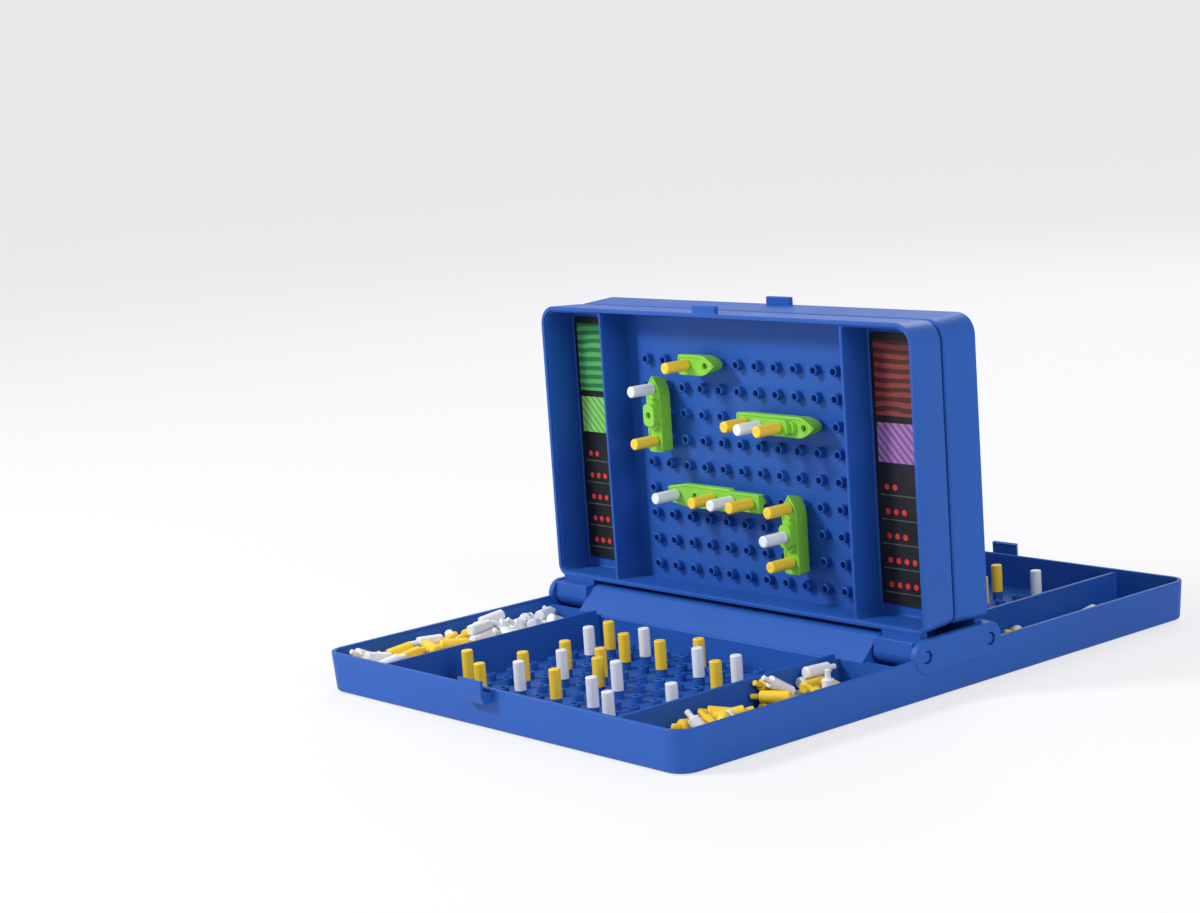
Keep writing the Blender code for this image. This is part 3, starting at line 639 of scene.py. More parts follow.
def shell(name, low, high, hinge_corner):
    """Outside of a moulding: round corners, walls leaning in downwards, soft rim and foot."""
    item = block(name, low, high)
    round_corners(item, hinge_corner, CORNER)
    centre = (Vector(low) + Vector(high)) / 2
    half = (Vector(high) - Vector(low)) / 2
    factors = (1 - DRAFT / half.x, 1 - DRAFT / half.y, 1)
    scale_points(item, lambda v: v.co.z < centre.z, factors, centre)
    round_edges(item, lambda e: level(e, low[2]), FOOT_ROUND)
    round_edges(item, lambda e: level(e, high[2]), RIM_ROUND)
    return item


def lip(low, high, hinge_corner):
    """Cutter that leaves a thin lip round the rim."""
    item = block("lip", low, high)
    round_corners(item, hinge_corner - WALL, CORNER - WALL)
    return item


def channel(name, low, high, side, flip, hinge_corner):
    """Cutter of a side channel: its outer and free end walls lean, and its outer corners are wider.

    flip is +1 or -1, the way from the hinge to the free end.
    """
    item = block(name, low, high)
    centre = (Vector(low) + Vector(high)) / 2

    def outside(spot):
        return (spot.x - centre.x) * side > 0

    def free(spot):
        return (spot.y - centre.y) * flip > 0

    move_points(item, lambda v: v.co.z < centre.z and outside(v.co), (-side * DRAFT, 0, 0))
    move_points(item, lambda v: v.co.z < centre.z and free(v.co), (0, -flip * DRAFT, 0))
    corners = (
        (lambda spot: outside(spot) and free(spot), CORNER - CAVITY_WALL),
        (lambda spot: outside(spot) and not free(spot), hinge_corner),
        (lambda spot: not outside(spot), SMALL_CORNER),
    )
    for here, radius in corners:
        round_edges(item, lambda e, here=here: upright(e) and here(middle(e)), radius, CORNER_STEPS)
    round_edges(item, lambda e: level(e, low[2]), FILLET)
    return item


def tray(side, flip):
    """Cutter of one of the base's side trays."""
    x = span(side, CHANNEL_INNER, CHANNEL_OUTER)
    y = span(flip, WELL_START, WELL_END)
    return channel("tray", (x[0], y[0], FLOOR), (x[1], y[1], RIM + ABOVE), side, flip, SMALL_CORNER)


def well(near, far, board, gutter, top):
    """Cutter of a peg well: the pegboard stands up between two low gutters."""
    item = block("well", (-WELL_HALF, near, board), (WELL_HALF, far, top))
    for side in LEFT_RIGHT:
        slice_at(item, (side * PAD_HALF, 0, 0), (1, 0, 0))
    pull_faces(
        item,
        lambda f: looks_down(f) and abs(f.calc_center_median().x) > PAD_HALF,
        (0, 0, gutter - board),
    )

    def low_edge(edge):
        return all(v.co.z < board + TOUCH for v in edge.verts) and sharp(edge)

    round_edges(item, low_edge, GUTTER_ROUND, FEW_STEPS)
    return item


def peg_grid(item, along):
    """Repeats one tube or hole over the whole grid; along is +1 or -1, the way the rows go."""
    repeat(item, COLUMNS, (PITCH, 0, 0))
    repeat(item, ROWS, (0, along * PITCH, 0))


def add_bosses(item, first_y, along, board):
    """A tube round every peg hole, and the holes right through the pegboard."""
    x = -(COLUMNS - 1) / 2 * PITCH
    top = board + BOSS_HEIGHT
    low = board - BOARD_THICKNESS / 2
    boss = rod("bosses", BOSS_RADIUS, (x, first_y, low), (x, first_y, top), HOLE_SIDES)
    foot = BOSS_FOOT_RADIUS / BOSS_RADIUS
    scale_points(boss, lambda v: v.co.z < board, (foot, foot, 1), (x, first_y, low))
    round_edges(boss, lambda e: level(e, top), BOSS_ROUND, CHAMFER_STEPS)
    peg_grid(boss, along)
    fuse(item, boss)
    bottom = board - BOARD_THICKNESS - INSIDE
    hole = rod("holes", HOLE_RADIUS, (x, first_y, bottom), (x, first_y, top - BOSS_ROUND / 2), HOLE_SIDES)
    pull_faces(hole, looks_up, (0, 0, BOSS_ROUND))
    flare = 1 + BOSS_ROUND / HOLE_RADIUS
    scale_points(hole, lambda v: v.co.z > top, (flare, flare, 1), (x, first_y, top))
    peg_grid(hole, along)
    cut(item, hole)


def latch_catch():
    """Catch on the front end of the base: a shelf and a finger with a nose, modelled from one block."""
    wall = -HALF_LENGTH
    finger_in = wall - TONGUE_REACH - FINGER_GAP
    finger_out = finger_in - FINGER_THICKNESS
    shelf_top = RIM - SHELF_TOP
    shelf_low = shelf_top - SHELF_THICKNESS
    nose_low = RIM + RIM_GAP + TONGUE_SETBACK + TONGUE_THICKNESS + FINGER_GAP
    left = -LATCH_OFFSET - LATCH_WIDTH / 2
    right = left + LATCH_WIDTH
    item = block("catch", (left, finger_out, shelf_low), (right, wall + INSIDE, shelf_top))
    slice_at(item, (0, finger_in, 0), (0, 1, 0))

    def finger_top(face):
        return looks_up(face) and face.calc_center_median().y < finger_in

    pull_faces(item, finger_top, (0, 0, nose_low - shelf_top))
    pull_faces(item, finger_top, (0, 0, 2 * NOSE_HEIGHT))
    move_points(
        item, lambda v: v.co.z > nose_low + TOUCH and v.co.y > finger_in - TOUCH,
        (0, NOSE, -NOSE_HEIGHT),
    )
    move_points(
        item, lambda v: v.co.z < shelf_low + TOUCH and v.co.y < finger_in - TOUCH,
        (0, 0, 2 * FINGER_THICKNESS),
    )
    round_edges(
        item, lambda e: middle(e).y < wall - TOUCH and sharp(e, CATCH_SHARP), CATCH_ROUND, FEW_STEPS,
    )
    return item


def hinge_bar(side):
    """Raised bar with round ends, drawn out of one round bar, on a side wall of the base."""
    start, end = ((x, -AXIS_Y, AXIS_Z) for x in span(side, BAR_INNER, BAR_OUTER))
    item = rod("hinge_bar", BAR_RADIUS, start, end, BAR_SIDES, math.pi / BAR_SIDES)
    move_points(item, lambda v: v.co.y > -AXIS_Y, (0, 2 * AXIS_Y, 0))
    round_edges(item, lambda e: at_x(e, BAR_OUTER), BAR_ROUND)
    round_edges(item, lambda e: at_x(e, BAR_INNER), BAR_INNER_ROUND, FEW_STEPS)
    return item


def ridge():
    """Ridge under the open lids, drawn out of one block: a flat top, and a ramp down to each well."""
    foot = WELL_START - RIDGE_LIP
    item = block("ridge", (-RIDGE_HALF_WIDTH, -foot, DECK - INSIDE), (RIDGE_HALF_WIDTH, foot, RIDGE_TOP))
    slice_at(item, (0, 0, DECK + TOUCH), (0, 0, 1))
    scale_points(item, lambda v: v.co.z > RIDGE_TOP - TOUCH, (1, AXIS_Y / foot, 1), (0, 0, RIDGE_TOP))
    round_edges(item, lambda e: level(e, RIDGE_TOP) and abs(middle(e).y) > TOUCH, RIDGE_ROUND)
    return item


def cut_pockets(base):
    """The pockets in which the knuckles turn, and the holes for their pins."""
    for side in LEFT_RIGHT:
        x = span(side, POCKET_INNER, BAR_INNER - POCKET_GAP)
        for flip in FRONT_REAR:
            y = span(flip, AXIS_Y - POCKET_BACK, AXIS_Y + POCKET_REACH)
            pocket = block(
                "pocket", (x[0], y[0], RIM - POCKET_DEPTH), (x[1], y[1], AXIS_Z + BAR_RADIUS + ABOVE),
            )
            round_edges(pocket, lambda e: level(e, RIM - POCKET_DEPTH) or upright(e), FILLET)
            cut(base, pocket)
            inner = (side * (BAR_INNER - INSIDE), flip * AXIS_Y, AXIS_Z)
            outer = (side * (BAR_OUTER + INSIDE), flip * AXIS_Y, AXIS_Z)
            cut(base, rod("pin_hole", PIN_HOLE, inner, outer, PIN_SIDES))


def make_base():
    """The base on the floor, its rim up."""
    base = shell("base_moulding", (-HALF_WIDTH, -HALF_LENGTH, 0.0), (HALF_WIDTH, HALF_LENGTH, RIM), CORNER)
    cut(base, lip(
        (-HALF_WIDTH + WALL, -HALF_LENGTH + WALL, RIM - LIP_DEPTH),
        (HALF_WIDTH - WALL, HALF_LENGTH - WALL, RIM + ABOVE), CORNER,
    ))
    for flip in FRONT_REAR:
        near, far = span(flip, WELL_START, WELL_END)
        cut(base, well(near, far, RIM - BOARD_DEPTH, BASE_GUTTER, RIM + ABOVE))
        for side in LEFT_RIGHT:
            cut(base, tray(side, flip))
    deck_end = WELL_START + INSIDE
    deck = block("deck", (-CHANNEL_OUTER, -deck_end, DECK), (CHANNEL_OUTER, deck_end, RIM + ABOVE))
    round_edges(deck, lambda e: level(e, DECK) and at_x(e, CHANNEL_OUTER), FILLET)
    cut(base, deck)
    round_edges(base, lambda e: level(e, RIM) and abs(middle(e).x) < HALF_WIDTH - WALL + TOUCH and
                abs(middle(e).y) < HALF_LENGTH - WALL + TOUCH, LIP_ROUND)
    round_edges(base, lambda e: level(e, RIM - LIP_DEPTH) and
                WELL_HALF - TOUCH < abs(middle(e).x) < CHANNEL_INNER + TOUCH, PARTITION_ROUND)
    round_edges(base, lambda e: level(e, DECK) and (at_y(e, WELL_START) or at_y(e, -WELL_START)), DECK_ROUND)
    fuse(base, ridge())
    for side in LEFT_RIGHT:
        fuse(base, hinge_bar(side))
    for turn in TURN.values():
        catch = latch_catch()
        put(catch, turn)
        fuse(base, catch)
    cut_pockets(base)
    cut(base, *under_hollows())
    for flip in FRONT_REAR:
        add_bosses(base, flip * (AXIS_Y + FIRST_ROW), flip, RIM - BOARD_DEPTH)
    return base


def hollow(low, high):
    """Cutter of a hollow under a moulding, with soft corners."""
    item = block("hollow", low, high)
    round_edges(item, upright, SMALL_CORNER)
    round_edges(item, lambda e: level(e, high[2]), GUTTER_ROUND, FEW_STEPS)
    return item


def under_hollows():
    """Cutters under the deck, the ridge, the knuckle pockets and the pegboards."""
    deep = WELL_START - HOLLOW_MARGIN
    inner = POCKET_INNER - 2 * HOLLOW_MARGIN
    under_ridge = AXIS_Y - HOLLOW_MARGIN
    tools = [
        hollow((-inner, -deep, -ABOVE), (inner, deep, DECK - FLOOR)),
        hollow((-inner, -under_ridge, DECK - FLOOR - INSIDE), (inner, under_ridge, RIDGE_TOP - FLOOR)),
    ]
    for side in LEFT_RIGHT:
        x = span(side, POCKET_INNER, HALF_WIDTH - DRAFT - 2 * WALL)
        tools.append(hollow((x[0], -deep, -ABOVE), (x[1], deep, RIM - POCKET_DEPTH - FLOOR)))
    half = PAD_HALF - HOLLOW_MARGIN
    for flip in FRONT_REAR:
        y = span(flip, WELL_START + HOLLOW_MARGIN, WELL_END - HOLLOW_MARGIN)
        tools.append(hollow((-half, y[0], -ABOVE), (half, y[1], RIM - BOARD_DEPTH - BOARD_THICKNESS)))
    return tools


def make_lid():
    """A lid lying with its rim up and its hinge axis on X."""
    rim = -RIM_GAP / 2
    back = rim - LID_DEPTH
    board = rim - BOARD_DEPTH
    floor = back + FLOOR
    start = HINGE_RISE + CAVITY_WALL
    end = REACH - CAVITY_WALL
    lid = shell("lid_moulding", (-HALF_WIDTH, HINGE_RISE, back), (HALF_WIDTH, REACH, rim), HINGE_CORNER)
    cut(lid, lip(
        (-HALF_WIDTH + WALL, HINGE_RISE + WALL, rim - LIP_DEPTH),
        (HALF_WIDTH - WALL, REACH - WALL, rim + ABOVE), HINGE_CORNER,
    ))
    cut(lid, well(start, end, board, floor, rim + ABOVE))
    for side in LEFT_RIGHT:
        x = span(side, CHANNEL_INNER, CHANNEL_OUTER)
        cut(lid, channel(
            "channel", (x[0], start, floor), (x[1], end, rim + ABOVE), side, 1, HINGE_CORNER - CAVITY_WALL,
        ))
    round_edges(lid, lambda e: level(e, rim) and abs(middle(e).x) < HALF_WIDTH - WALL + TOUCH and
                HINGE_RISE + WALL - TOUCH < middle(e).y < REACH - WALL + TOUCH, LIP_ROUND)
    round_edges(lid, lambda e: level(e, rim - LIP_DEPTH) and
                WELL_HALF - TOUCH < abs(middle(e).x) < CHANNEL_INNER + TOUCH, PARTITION_ROUND)
    half = PAD_HALF - HOLLOW_MARGIN
    cut(lid, hollow(
        (-half, start + HOLLOW_MARGIN, back - ABOVE),
        (half, end - HOLLOW_MARGIN, board - BOARD_THICKNESS),
    ))
    for side in LEFT_RIGHT:
        fuse(lid, *knuckle(side, rim))
    tongue_top = rim - TONGUE_SETBACK
    left = -LATCH_OFFSET - LATCH_WIDTH / 2
    tongue = block(
        "tongue", (left, REACH - INSIDE, tongue_top - TONGUE_THICKNESS),
        (left + LATCH_WIDTH, REACH + TONGUE_REACH, tongue_top),
    )
    round_edges(tongue, lambda e: middle(e).y > REACH, TONGUE_ROUND)
    fuse(lid, tongue)
    add_bosses(lid, FIRST_ROW, 1, board)
    return lid


def knuckle(side, rim):
    """Barrel, web, flat front and stub pin of one hinge knuckle."""
    x = span(side, KNUCKLE_INNER, KNUCKLE_OUTER)
    barrel = rod("barrel", KNUCKLE_RADIUS, (x[0], 0, 0), (x[1], 0, 0), BAR_SIDES)
    round_edges(barrel, lambda e: at_x(e, KNUCKLE_INNER) or at_x(e, KNUCKLE_OUTER), KNUCKLE_ROUND)
    web = block(
        "web", (x[0] + WEB_INSET, 0.0, -KNUCKLE_RADIUS + WEB_RAISE),
        (x[1] - WEB_INSET, HINGE_RISE + INSIDE, rim - TONGUE_SETBACK),
    )
    front_top = HINGE_RISE - KNUCKLE_DROP
    front = block(
        "front", (x[0] + KNUCKLE_FRONT_INSET, KNUCKLE_FRONT_LOW, -KNUCKLE_RADIUS / 2),
        (x[1] - KNUCKLE_FRONT_INSET, front_top, KNUCKLE_RADIUS - TOUCH),
    )
    move_points(
        front, lambda v: v.co.z > 0 and v.co.y > front_top - TOUCH, (0, 0, KNUCKLE_FRONT - KNUCKLE_RADIUS),
    )
    round_edges(front, lambda e: at_y(e, front_top), KNUCKLE_ROUND)
    pin = rod("pin", PIN_RADIUS, (side * (KNUCKLE_OUTER - INSIDE), 0, 0), (side * PIN_END, 0, 0), PIN_SIDES)
    round_edges(pin, lambda e: at_x(e, PIN_END), KNUCKLE_ROUND)
    return web, barrel, front, pin


def lid_place(side):
    """From the lid's own frame, rim up, to where it stands open."""
    stand = Matrix.Translation((0.0, -AXIS_Y, AXIS_Z)) @ Matrix.Rotation(math.pi / 2, 4, "X")
    return TURN[side] @ stand


def add_mouldings():
    base = make_base()
    smooth(base)
    hand_over(base, CASE_BLUE, "base", "case_blue", "base_tray")
    lid = make_lid()
    smooth(lid)
    for side in TURN:
        item = copy_of(lid, "lid_moulding_" + side)
        put(item, lid_place(side))
        hand_over(item, CASE_BLUE, side + "_lid", "case_blue", "lid_" + side)
    bpy.data.objects.remove(lid, do_unlink=True)


# Pegs

def model_peg(sides, steps):
    """One peg upright, its seat at the origin: a shank below and a soft-ended body above."""
    peg = rod("peg", PEG_RADIUS, (0, 0, 0), (0, 0, PEG_LENGTH), sides)
    pick(peg, "FACE", looks_down)
    bpy.ops.mesh.inset(thickness=PEG_RADIUS - SHANK_RADIUS, depth=0)
    bpy.ops.mesh.extrude_region_move(TRANSFORM_OT_translate={"value": (0, 0, -SHANK_LENGTH)})
    leave()
    round_edges(peg, lambda e: level(e, -SHANK_LENGTH), SHANK_ROUND, steps)
    round_edges(peg, lambda e: level(e, 0) and middle(e).length > SEAT_EDGE, SEAT_ROUND, steps)
    round_edges(peg, lambda e: level(e, PEG_LENGTH), HEAD_ROUND, steps)
    return peg


def add_dimple(peg):
    """Sinks the middle of a peg's head a little."""
    pick(peg, "FACE", lambda f: on_top(f, PEG_LENGTH))
    bpy.ops.mesh.inset(thickness=DIMPLE_RIM, depth=0)
    bpy.ops.mesh.inset(thickness=DIMPLE_SLOPE, depth=-DIMPLE_DEPTH)
    leave()


def peg_place(node):
    """Where a CAD peg stands: upright in the base, or pointing away from the lid that it is on."""
    low, high = (Vector(corner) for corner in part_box(node))
    centre = (low + high) / 2
    if "_base_" in node:
        return Matrix.Translation((centre.x, centre.y, high.z - PEG_LENGTH))
    front = "_front_" in node
    seat = low.y + PEG_LENGTH if front else high.y - PEG_LENGTH
    lean = Matrix.Rotation(math.pi / 2 if front else -math.pi / 2, 4, "X")
    return Matrix.Translation((centre.x, seat, centre.z)) @ lean


def add_pegs():
    peg = model_peg(PEG_SIDES, SOFT_STEPS)
    add_dimple(peg)
    smooth(peg)
    for part in frame["record"]["subparts"]:
        node = part["node"]
        if node.startswith("peg_"):
            item = copy_of(peg, node + "_moulded")
            put(item, peg_place(node))
            slot = part["material_slot"]
            hand_over(item, PEG_COLOURS[slot], node, slot, node)
    bpy.data.objects.remove(peg, do_unlink=True)


# Loose pegs

def as_solid(item, kind, shape):
    """Makes an object a falling or a standing body."""
    only(item)
    bpy.ops.rigidbody.object_add(type=kind)
    item.rigid_body.collision_shape = shape
    item.rigid_body.use_margin = True
    item.rigid_body.collision_margin = FALL_MARGIN
    item.rigid_body.friction = FALL_FRICTION
    item.rigid_body.restitution = FALL_BOUNCE
    item.rigid_body.linear_damping = FALL_DRAG
    item.rigid_body.angular_damping = FALL_SPIN_DRAG


def make_trays():
    """The inner faces of the trays, up to the tops of their partitions, for the pegs to lie on."""
    item = join([tray(side, flip) for flip in FRONT_REAR for side in LEFT_RIGHT])
    top = RIM - LIP_DEPTH
    slice_at(item, (0, 0, top), (0, 0, 1))
    pick(item, "FACE", lambda f: f.calc_center_median().z > top)
    bpy.ops.mesh.delete(type="FACE")
    bpy.ops.mesh.select_all(action="SELECT")
    bpy.ops.mesh.flip_normals()
    leave()
    return item


def make_guides():
    """Walls above the trays that keep the pegs over them while they fall."""
    walls = []
    for _, side, end, gather, half_width, _, _ in LOOSE_PEGS:
        inner = gather - half_width
        outer = gather + half_width
        plans = (
            (inner - GUIDE_THICKNESS, inner, WELL_START, WELL_END),
            (outer, outer + GUIDE_THICKNESS, WELL_START, WELL_END),
            (inner, outer, WELL_START - GUIDE_THICKNESS, WELL_START),
            (inner, outer, WELL_END, WELL_END + GUIDE_THICKNESS),
        )
        for x_low, x_high, y_low, y_high in plans:
            x = span(side, x_low, x_high)
            y = span(end, y_low, y_high)
            walls.append(block("guide", (x[0], y[0], RIM), (x[1], y[1], RIM + GUIDE_HEIGHT)))
    return join(walls)


def start_fall(pattern, draw):
    """Hangs a copy of the peg for each loose one above its tray, lying down."""
    falling = []
    for name, side, end, gather, half_width, turn, piles in LOOSE_PEGS:
        room = half_width - PEG_RADIUS - (PEG_LENGTH + SHANK_LENGTH) / 2 * math.sin(turn)
        for along, yellow, white in piles:
            slots = ["peg_yellow"] * yellow + ["peg_white"] * white
            draw.shuffle(slots)
            for layer, slot in enumerate(slots):
                spot = Vector((
                    side * (gather + draw.uniform(-room, room)),
                    end * (AXIS_Y + along + draw.uniform(-FALL_SPREAD, FALL_SPREAD)),
                    RIM + (layer + 1) * FALL_STEP,
                ))
                heading = Matrix.Rotation(draw.uniform(-turn, turn), 4, "Z")
                lying = Matrix.Rotation(draw.choice((-1, 1)) * math.pi / 2, 4, "X")
                item = copy_of(pattern, "falling")
                item.matrix_world = Matrix.Translation(spot * FALL_SCALE) @ heading @ lying
                as_solid(item, "ACTIVE", "CONVEX_HULL")
                falling.append((name, slot, item))
    return falling


def drop_loose_pegs(peg):
    """Lets pegs fall into the trays, enlarged for the solver, and returns where each one lies."""
    scene = bpy.context.scene
    bpy.ops.rigidbody.world_add()
    scene.rigidbody_world.solver_iterations = FALL_ITERATIONS
    scene.rigidbody_world.point_cache.frame_end = FALL_FRAMES
    enlarge = Matrix.Diagonal((FALL_SCALE, FALL_SCALE, FALL_SCALE, 1.0))
    centre = Matrix.Translation((0, 0, -PEG_LENGTH / 2))
    trays = make_trays()
    guides = make_guides()
    for item in (trays, guides):
        put(item, enlarge)
        as_solid(item, "PASSIVE", "MESH")
    pattern = copy_of(peg, "falling")
    put(pattern, enlarge @ centre)
    falling = start_fall(pattern, random.Random(FALL_SEED))
    for number in range(1, FALL_FRAMES + 1):
        scene.frame_set(number)
    resting = []
    for name, slot, item in falling:
        place = item.matrix_world.copy()
        place.translation /= FALL_SCALE
        resting.append((name, slot, place @ centre))
    bpy.ops.rigidbody.world_remove()
    for item in [trays, guides, pattern] + [entry[2] for entry in falling]:
        bpy.data.objects.remove(item, do_unlink=True)
    scene.frame_set(1)
    return resting


def add_loose_pegs():
    """The loose pegs of each tray and colour, one piece each."""
    peg = model_peg(LOOSE_PEG_SIDES, CHAMFER_STEPS)
    smooth(peg)
    groups = {}
    for name, slot, place in drop_loose_pegs(peg):
        if place.translation.z < RIM:
            item = copy_of(peg, "loose_%s_%s" % (slot, name))
            put(item, place)
            groups.setdefault((name, slot), []).append(item)
    for (name, slot), items in groups.items():
        pile = join(items)
        pile.name = "loose_%s_%s" % (slot, name)
        hand_over(pile, PEG_COLOURS[slot], "base", slot)
    bpy.data.objects.remove(peg, do_unlink=True)


# Cards

def paint(item, material, test):
    """Gives the faces that pass the test a material of their own."""
    item.data.materials.append(material)
    item.active_material_index = len(item.data.materials) - 1
    pick(item, "FACE", test)
    bpy.ops.object.material_slot_assign()
    leave()


def model_card(name, low, high, panels):
    """One printed card, face up in a lid's frame: panels and lines cut into its face, and rows of dots."""
    card = block(name, low, high)
    round_edges(card, upright, CARD_CORNER)
    card.data.materials.append(CARD_BLACK)
    left = low.x + CARD_BORDER
    right = high.x - CARD_BORDER
    strips = [(high.y - start - height, high.y - start) for start, height in CARD_PANEL_ROWS]
    first = strips[-1][0] - CARD_ROW_STEP
    rows = [first - index * CARD_ROW_STEP for index in range(len(CARD_DOTS))]
    lines = [(row - CARD_LINE_DROP - CARD_LINE_WIDTH, row - CARD_LINE_DROP) for row in rows]
    for strip in strips + lines:
        for y in strip:
            slice_at(card, (0, y, 0), (0, 1, 0))
    for x in (left, right):
        slice_at(card, (x, 0, 0), (1, 0, 0))

    def inside(face, strip):
        spot = face.calc_center_median()
        return looks_up(face) and left < spot.x < right and strip[0] < spot.y < strip[1]

    for panel, strip in zip(panels, strips):
        paint(card, panel, lambda f, strip=strip: inside(f, strip))
    paint(card, CARD_LINE, lambda f: any(inside(f, strip) for strip in lines))
    for row, count in zip(rows, CARD_DOTS):
        for index in range(count):
            x = left + CARD_DOT_INSET + index * CARD_DOT_STEP
            fuse(card, rod(
                "dot", CARD_DOT_RADIUS, (x, row, low.z + CARD_INK), (x, row, high.z + CARD_INK), PEG_SIDES,
            ))
    paint(card, CARD_RED, lambda f: f.calc_center_median().z > high.z + TOUCH / 2)
    return card


def add_cards():
    for side in TURN:
        to_lid = lid_place(side).inverted()
        for hand in ("left", "right"):
            node = "card_%s_%s" % (side, hand)
            corners = [to_lid @ Vector(corner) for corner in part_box(node)]
            low = Vector([min(values) for values in zip(*corners)])
            high = Vector([max(values) for values in zip(*corners)])
            card = model_card(node + "_printed", low, high, CARD_PANELS["left" if low.x < 0 else "right"])
            put(card, lid_place(side))
            hand_over(card, None, side + "_lid", "card_print", node)


# Ships

def finish_deck(item):
    """Softens the deck's edge and sinks the deck a little inside it, which leaves a low wall round it."""
    round_edges(item, lambda e: level(e, SHIP_DECK) and sharp(e), DECK_EDGE_ROUND, FEW_STEPS)
    pick(item, "FACE", lambda f: on_top(f, SHIP_DECK))
    bpy.ops.mesh.inset(thickness=BULWARK, depth=0)
    bpy.ops.mesh.inset(thickness=BULWARK_HEIGHT / 2, depth=-BULWARK_HEIGHT)
    leave()


def model_hull(holes):
    """A hull with its first hole at the origin, its bow at +X and the pegboard at Z = 0."""
    tip = (holes - 1) * PITCH + BOW_OVERHANG
    hull = block("hull", (-STERN_OVERHANG, -SHIP_HALF_BEAM, SHIP_FOOT), (tip, SHIP_HALF_BEAM, SHIP_DECK))
    stations = [(tip - BOW_LENGTH * (1 - i / BOW_STEPS), i / BOW_STEPS) for i in range(BOW_STEPS + 1)]
    for x, _ in stations[:-1]:
        slice_at(hull, (x, 0, 0), (1, 0, 0))
    for x, share in stations:
        breadth = max(1 - share ** BOW_POWER, BOW_TIP)
        scale_points(hull, lambda v, x=x: abs(v.co.x - x) < TOUCH, (1, breadth, 1), (x, 0, 0))
    scale_points(hull, lambda v: v.co.z < SHIP_FOOT + TOUCH, (1, HULL_FLARE, 1), (0, 0, SHIP_FOOT))
    move_points(hull, lambda v: v.co.z < SHIP_FOOT + TOUCH and v.co.x > tip - TOUCH, (-BOW_RAKE, 0, 0))
    round_edges(hull, lambda e: not level(e, SHIP_FOOT) and not level(e, SHIP_DECK) and
                middle(e).x < -STERN_OVERHANG + TOUCH, STERN_ROUND)
    finish_deck(hull)
    return hull


def model_bridge(raised):
    """Raised deck over some of a ship's holes, on a longer low step."""
    first = raised[0] * PITCH
    last = raised[-1] * PITCH
    tiers = (
        (STEP_OVERHANG, STEP_HALF_BEAM, SHIP_DECK + STEP_HEIGHT, STEP_CORNER),
        (BRIDGE_OVERHANG, BRIDGE_HALF_BEAM, SHIP_BRIDGE, BRIDGE_CORNER),
    )
    made = []
    for overhang, half_beam, top, corner in tiers:
        tier = block(
            "tier", (first - overhang, -half_beam, SHIP_DECK - INSIDE), (last + overhang, half_beam, top),
        )
        round_edges(tier, upright, corner, BRIDGE_CORNER_STEPS)
        round_edges(tier, lambda e, top=top: level(e, top), BRIDGE_ROUND, FEW_STEPS)
        made.append(tier)
    return made


def model_carrier(holes):
    """A flight deck, tapered at the stern and stepped before the bow, on a narrower hull."""
    bow = (holes - 1) * PITCH + STERN_OVERHANG
    step = (holes - 2) * PITCH - DECK_STEP
    low = SHIP_DECK - FLIGHT_DECK_THICKNESS
    deck = block(
        "carrier", (-STERN_OVERHANG, -FLIGHT_DECK_HALF_BEAM, low), (bow, FLIGHT_DECK_HALF_BEAM, SHIP_DECK),
    )
    for x in (PITCH / 2, step, step + DECK_STEP):
        slice_at(deck, (x, 0, 0), (1, 0, 0))
    tapers = (
        (lambda v: v.co.x < -STERN_OVERHANG + TOUCH, STERN_TAPER),
        (lambda v: v.co.x > step + DECK_STEP - TOUCH, BOW_TAPER),
    )
    for test, taper in tapers:
        scale_points(deck, test, (1, 1 - taper / FLIGHT_DECK_HALF_BEAM, 1), (0, 0, 0))
    finish_deck(deck)
    end = STERN_OVERHANG - CARRIER_INSET
    bow_end = (holes - 1) * PITCH + end
    hull = block("hull", (-end, -CARRIER_HALF_BEAM, SHIP_FOOT), (bow_end, CARRIER_HALF_BEAM, low + INSIDE))
    shoulder = bow_end - BOW_LENGTH / 2
    for x in (bow_end - BOW_LENGTH, shoulder):
        slice_at(hull, (x, 0, 0), (1, 0, 0))
    for x, breadth in ((shoulder, CARRIER_SHOULDER), (bow_end, CARRIER_TIP)):
        scale_points(hull, lambda v, x=x: abs(v.co.x - x) < TOUCH, (1, breadth, 1), (0, 0, 0))
    scale_points(hull, lambda v: v.co.z < SHIP_FOOT + TOUCH, (1, HULL_FLARE, 1), (0, 0, SHIP_FOOT))
    round_edges(hull, lambda e: level(e, SHIP_FOOT), CARRIER_FOOT_ROUND, FEW_STEPS)
    fuse(deck, hull)
    return deck


def model_ship(holes, raised):
    """One ship with its pins below and a peg hole in a low ring for each cell above."""
    if holes == CARRIER_HOLES:
        ship = model_carrier(holes)
    else:
        ship = model_hull(holes)
    if raised:
        fuse(ship, *model_bridge(raised))
    for cell in (0, holes - 1):
        x = cell * PITCH
        pin = rod("pin", SHANK_RADIUS, (x, 0, -SHIP_PIN_LENGTH), (x, 0, SHIP_FOOT + INSIDE), HOLE_SIDES)
        round_edges(pin, lambda e: level(e, -SHIP_PIN_LENGTH), SHIP_PIN_ROUND, FEW_STEPS)
        fuse(ship, pin)
    for cell in range(holes):
        x = cell * PITCH
        top = SHIP_BRIDGE if cell in raised else SHIP_DECK
        if cell not in raised:
            ring = rod("ring", DECK_RING_RADIUS, (x, 0, top - INSIDE), (x, 0, top), PEG_SIDES)
            round_edges(ring, lambda e, top=top: level(e, top), BULWARK_HEIGHT / 2, CHAMFER_STEPS)
            fuse(ship, ring)
        cut(ship, rod("hole", HOLE_RADIUS, (x, 0, top - DECK_HOLE_DEPTH), (x, 0, top + INSIDE), PEG_SIDES))
    smooth(ship, SHIP_SMOOTH_ANGLE)
    return ship


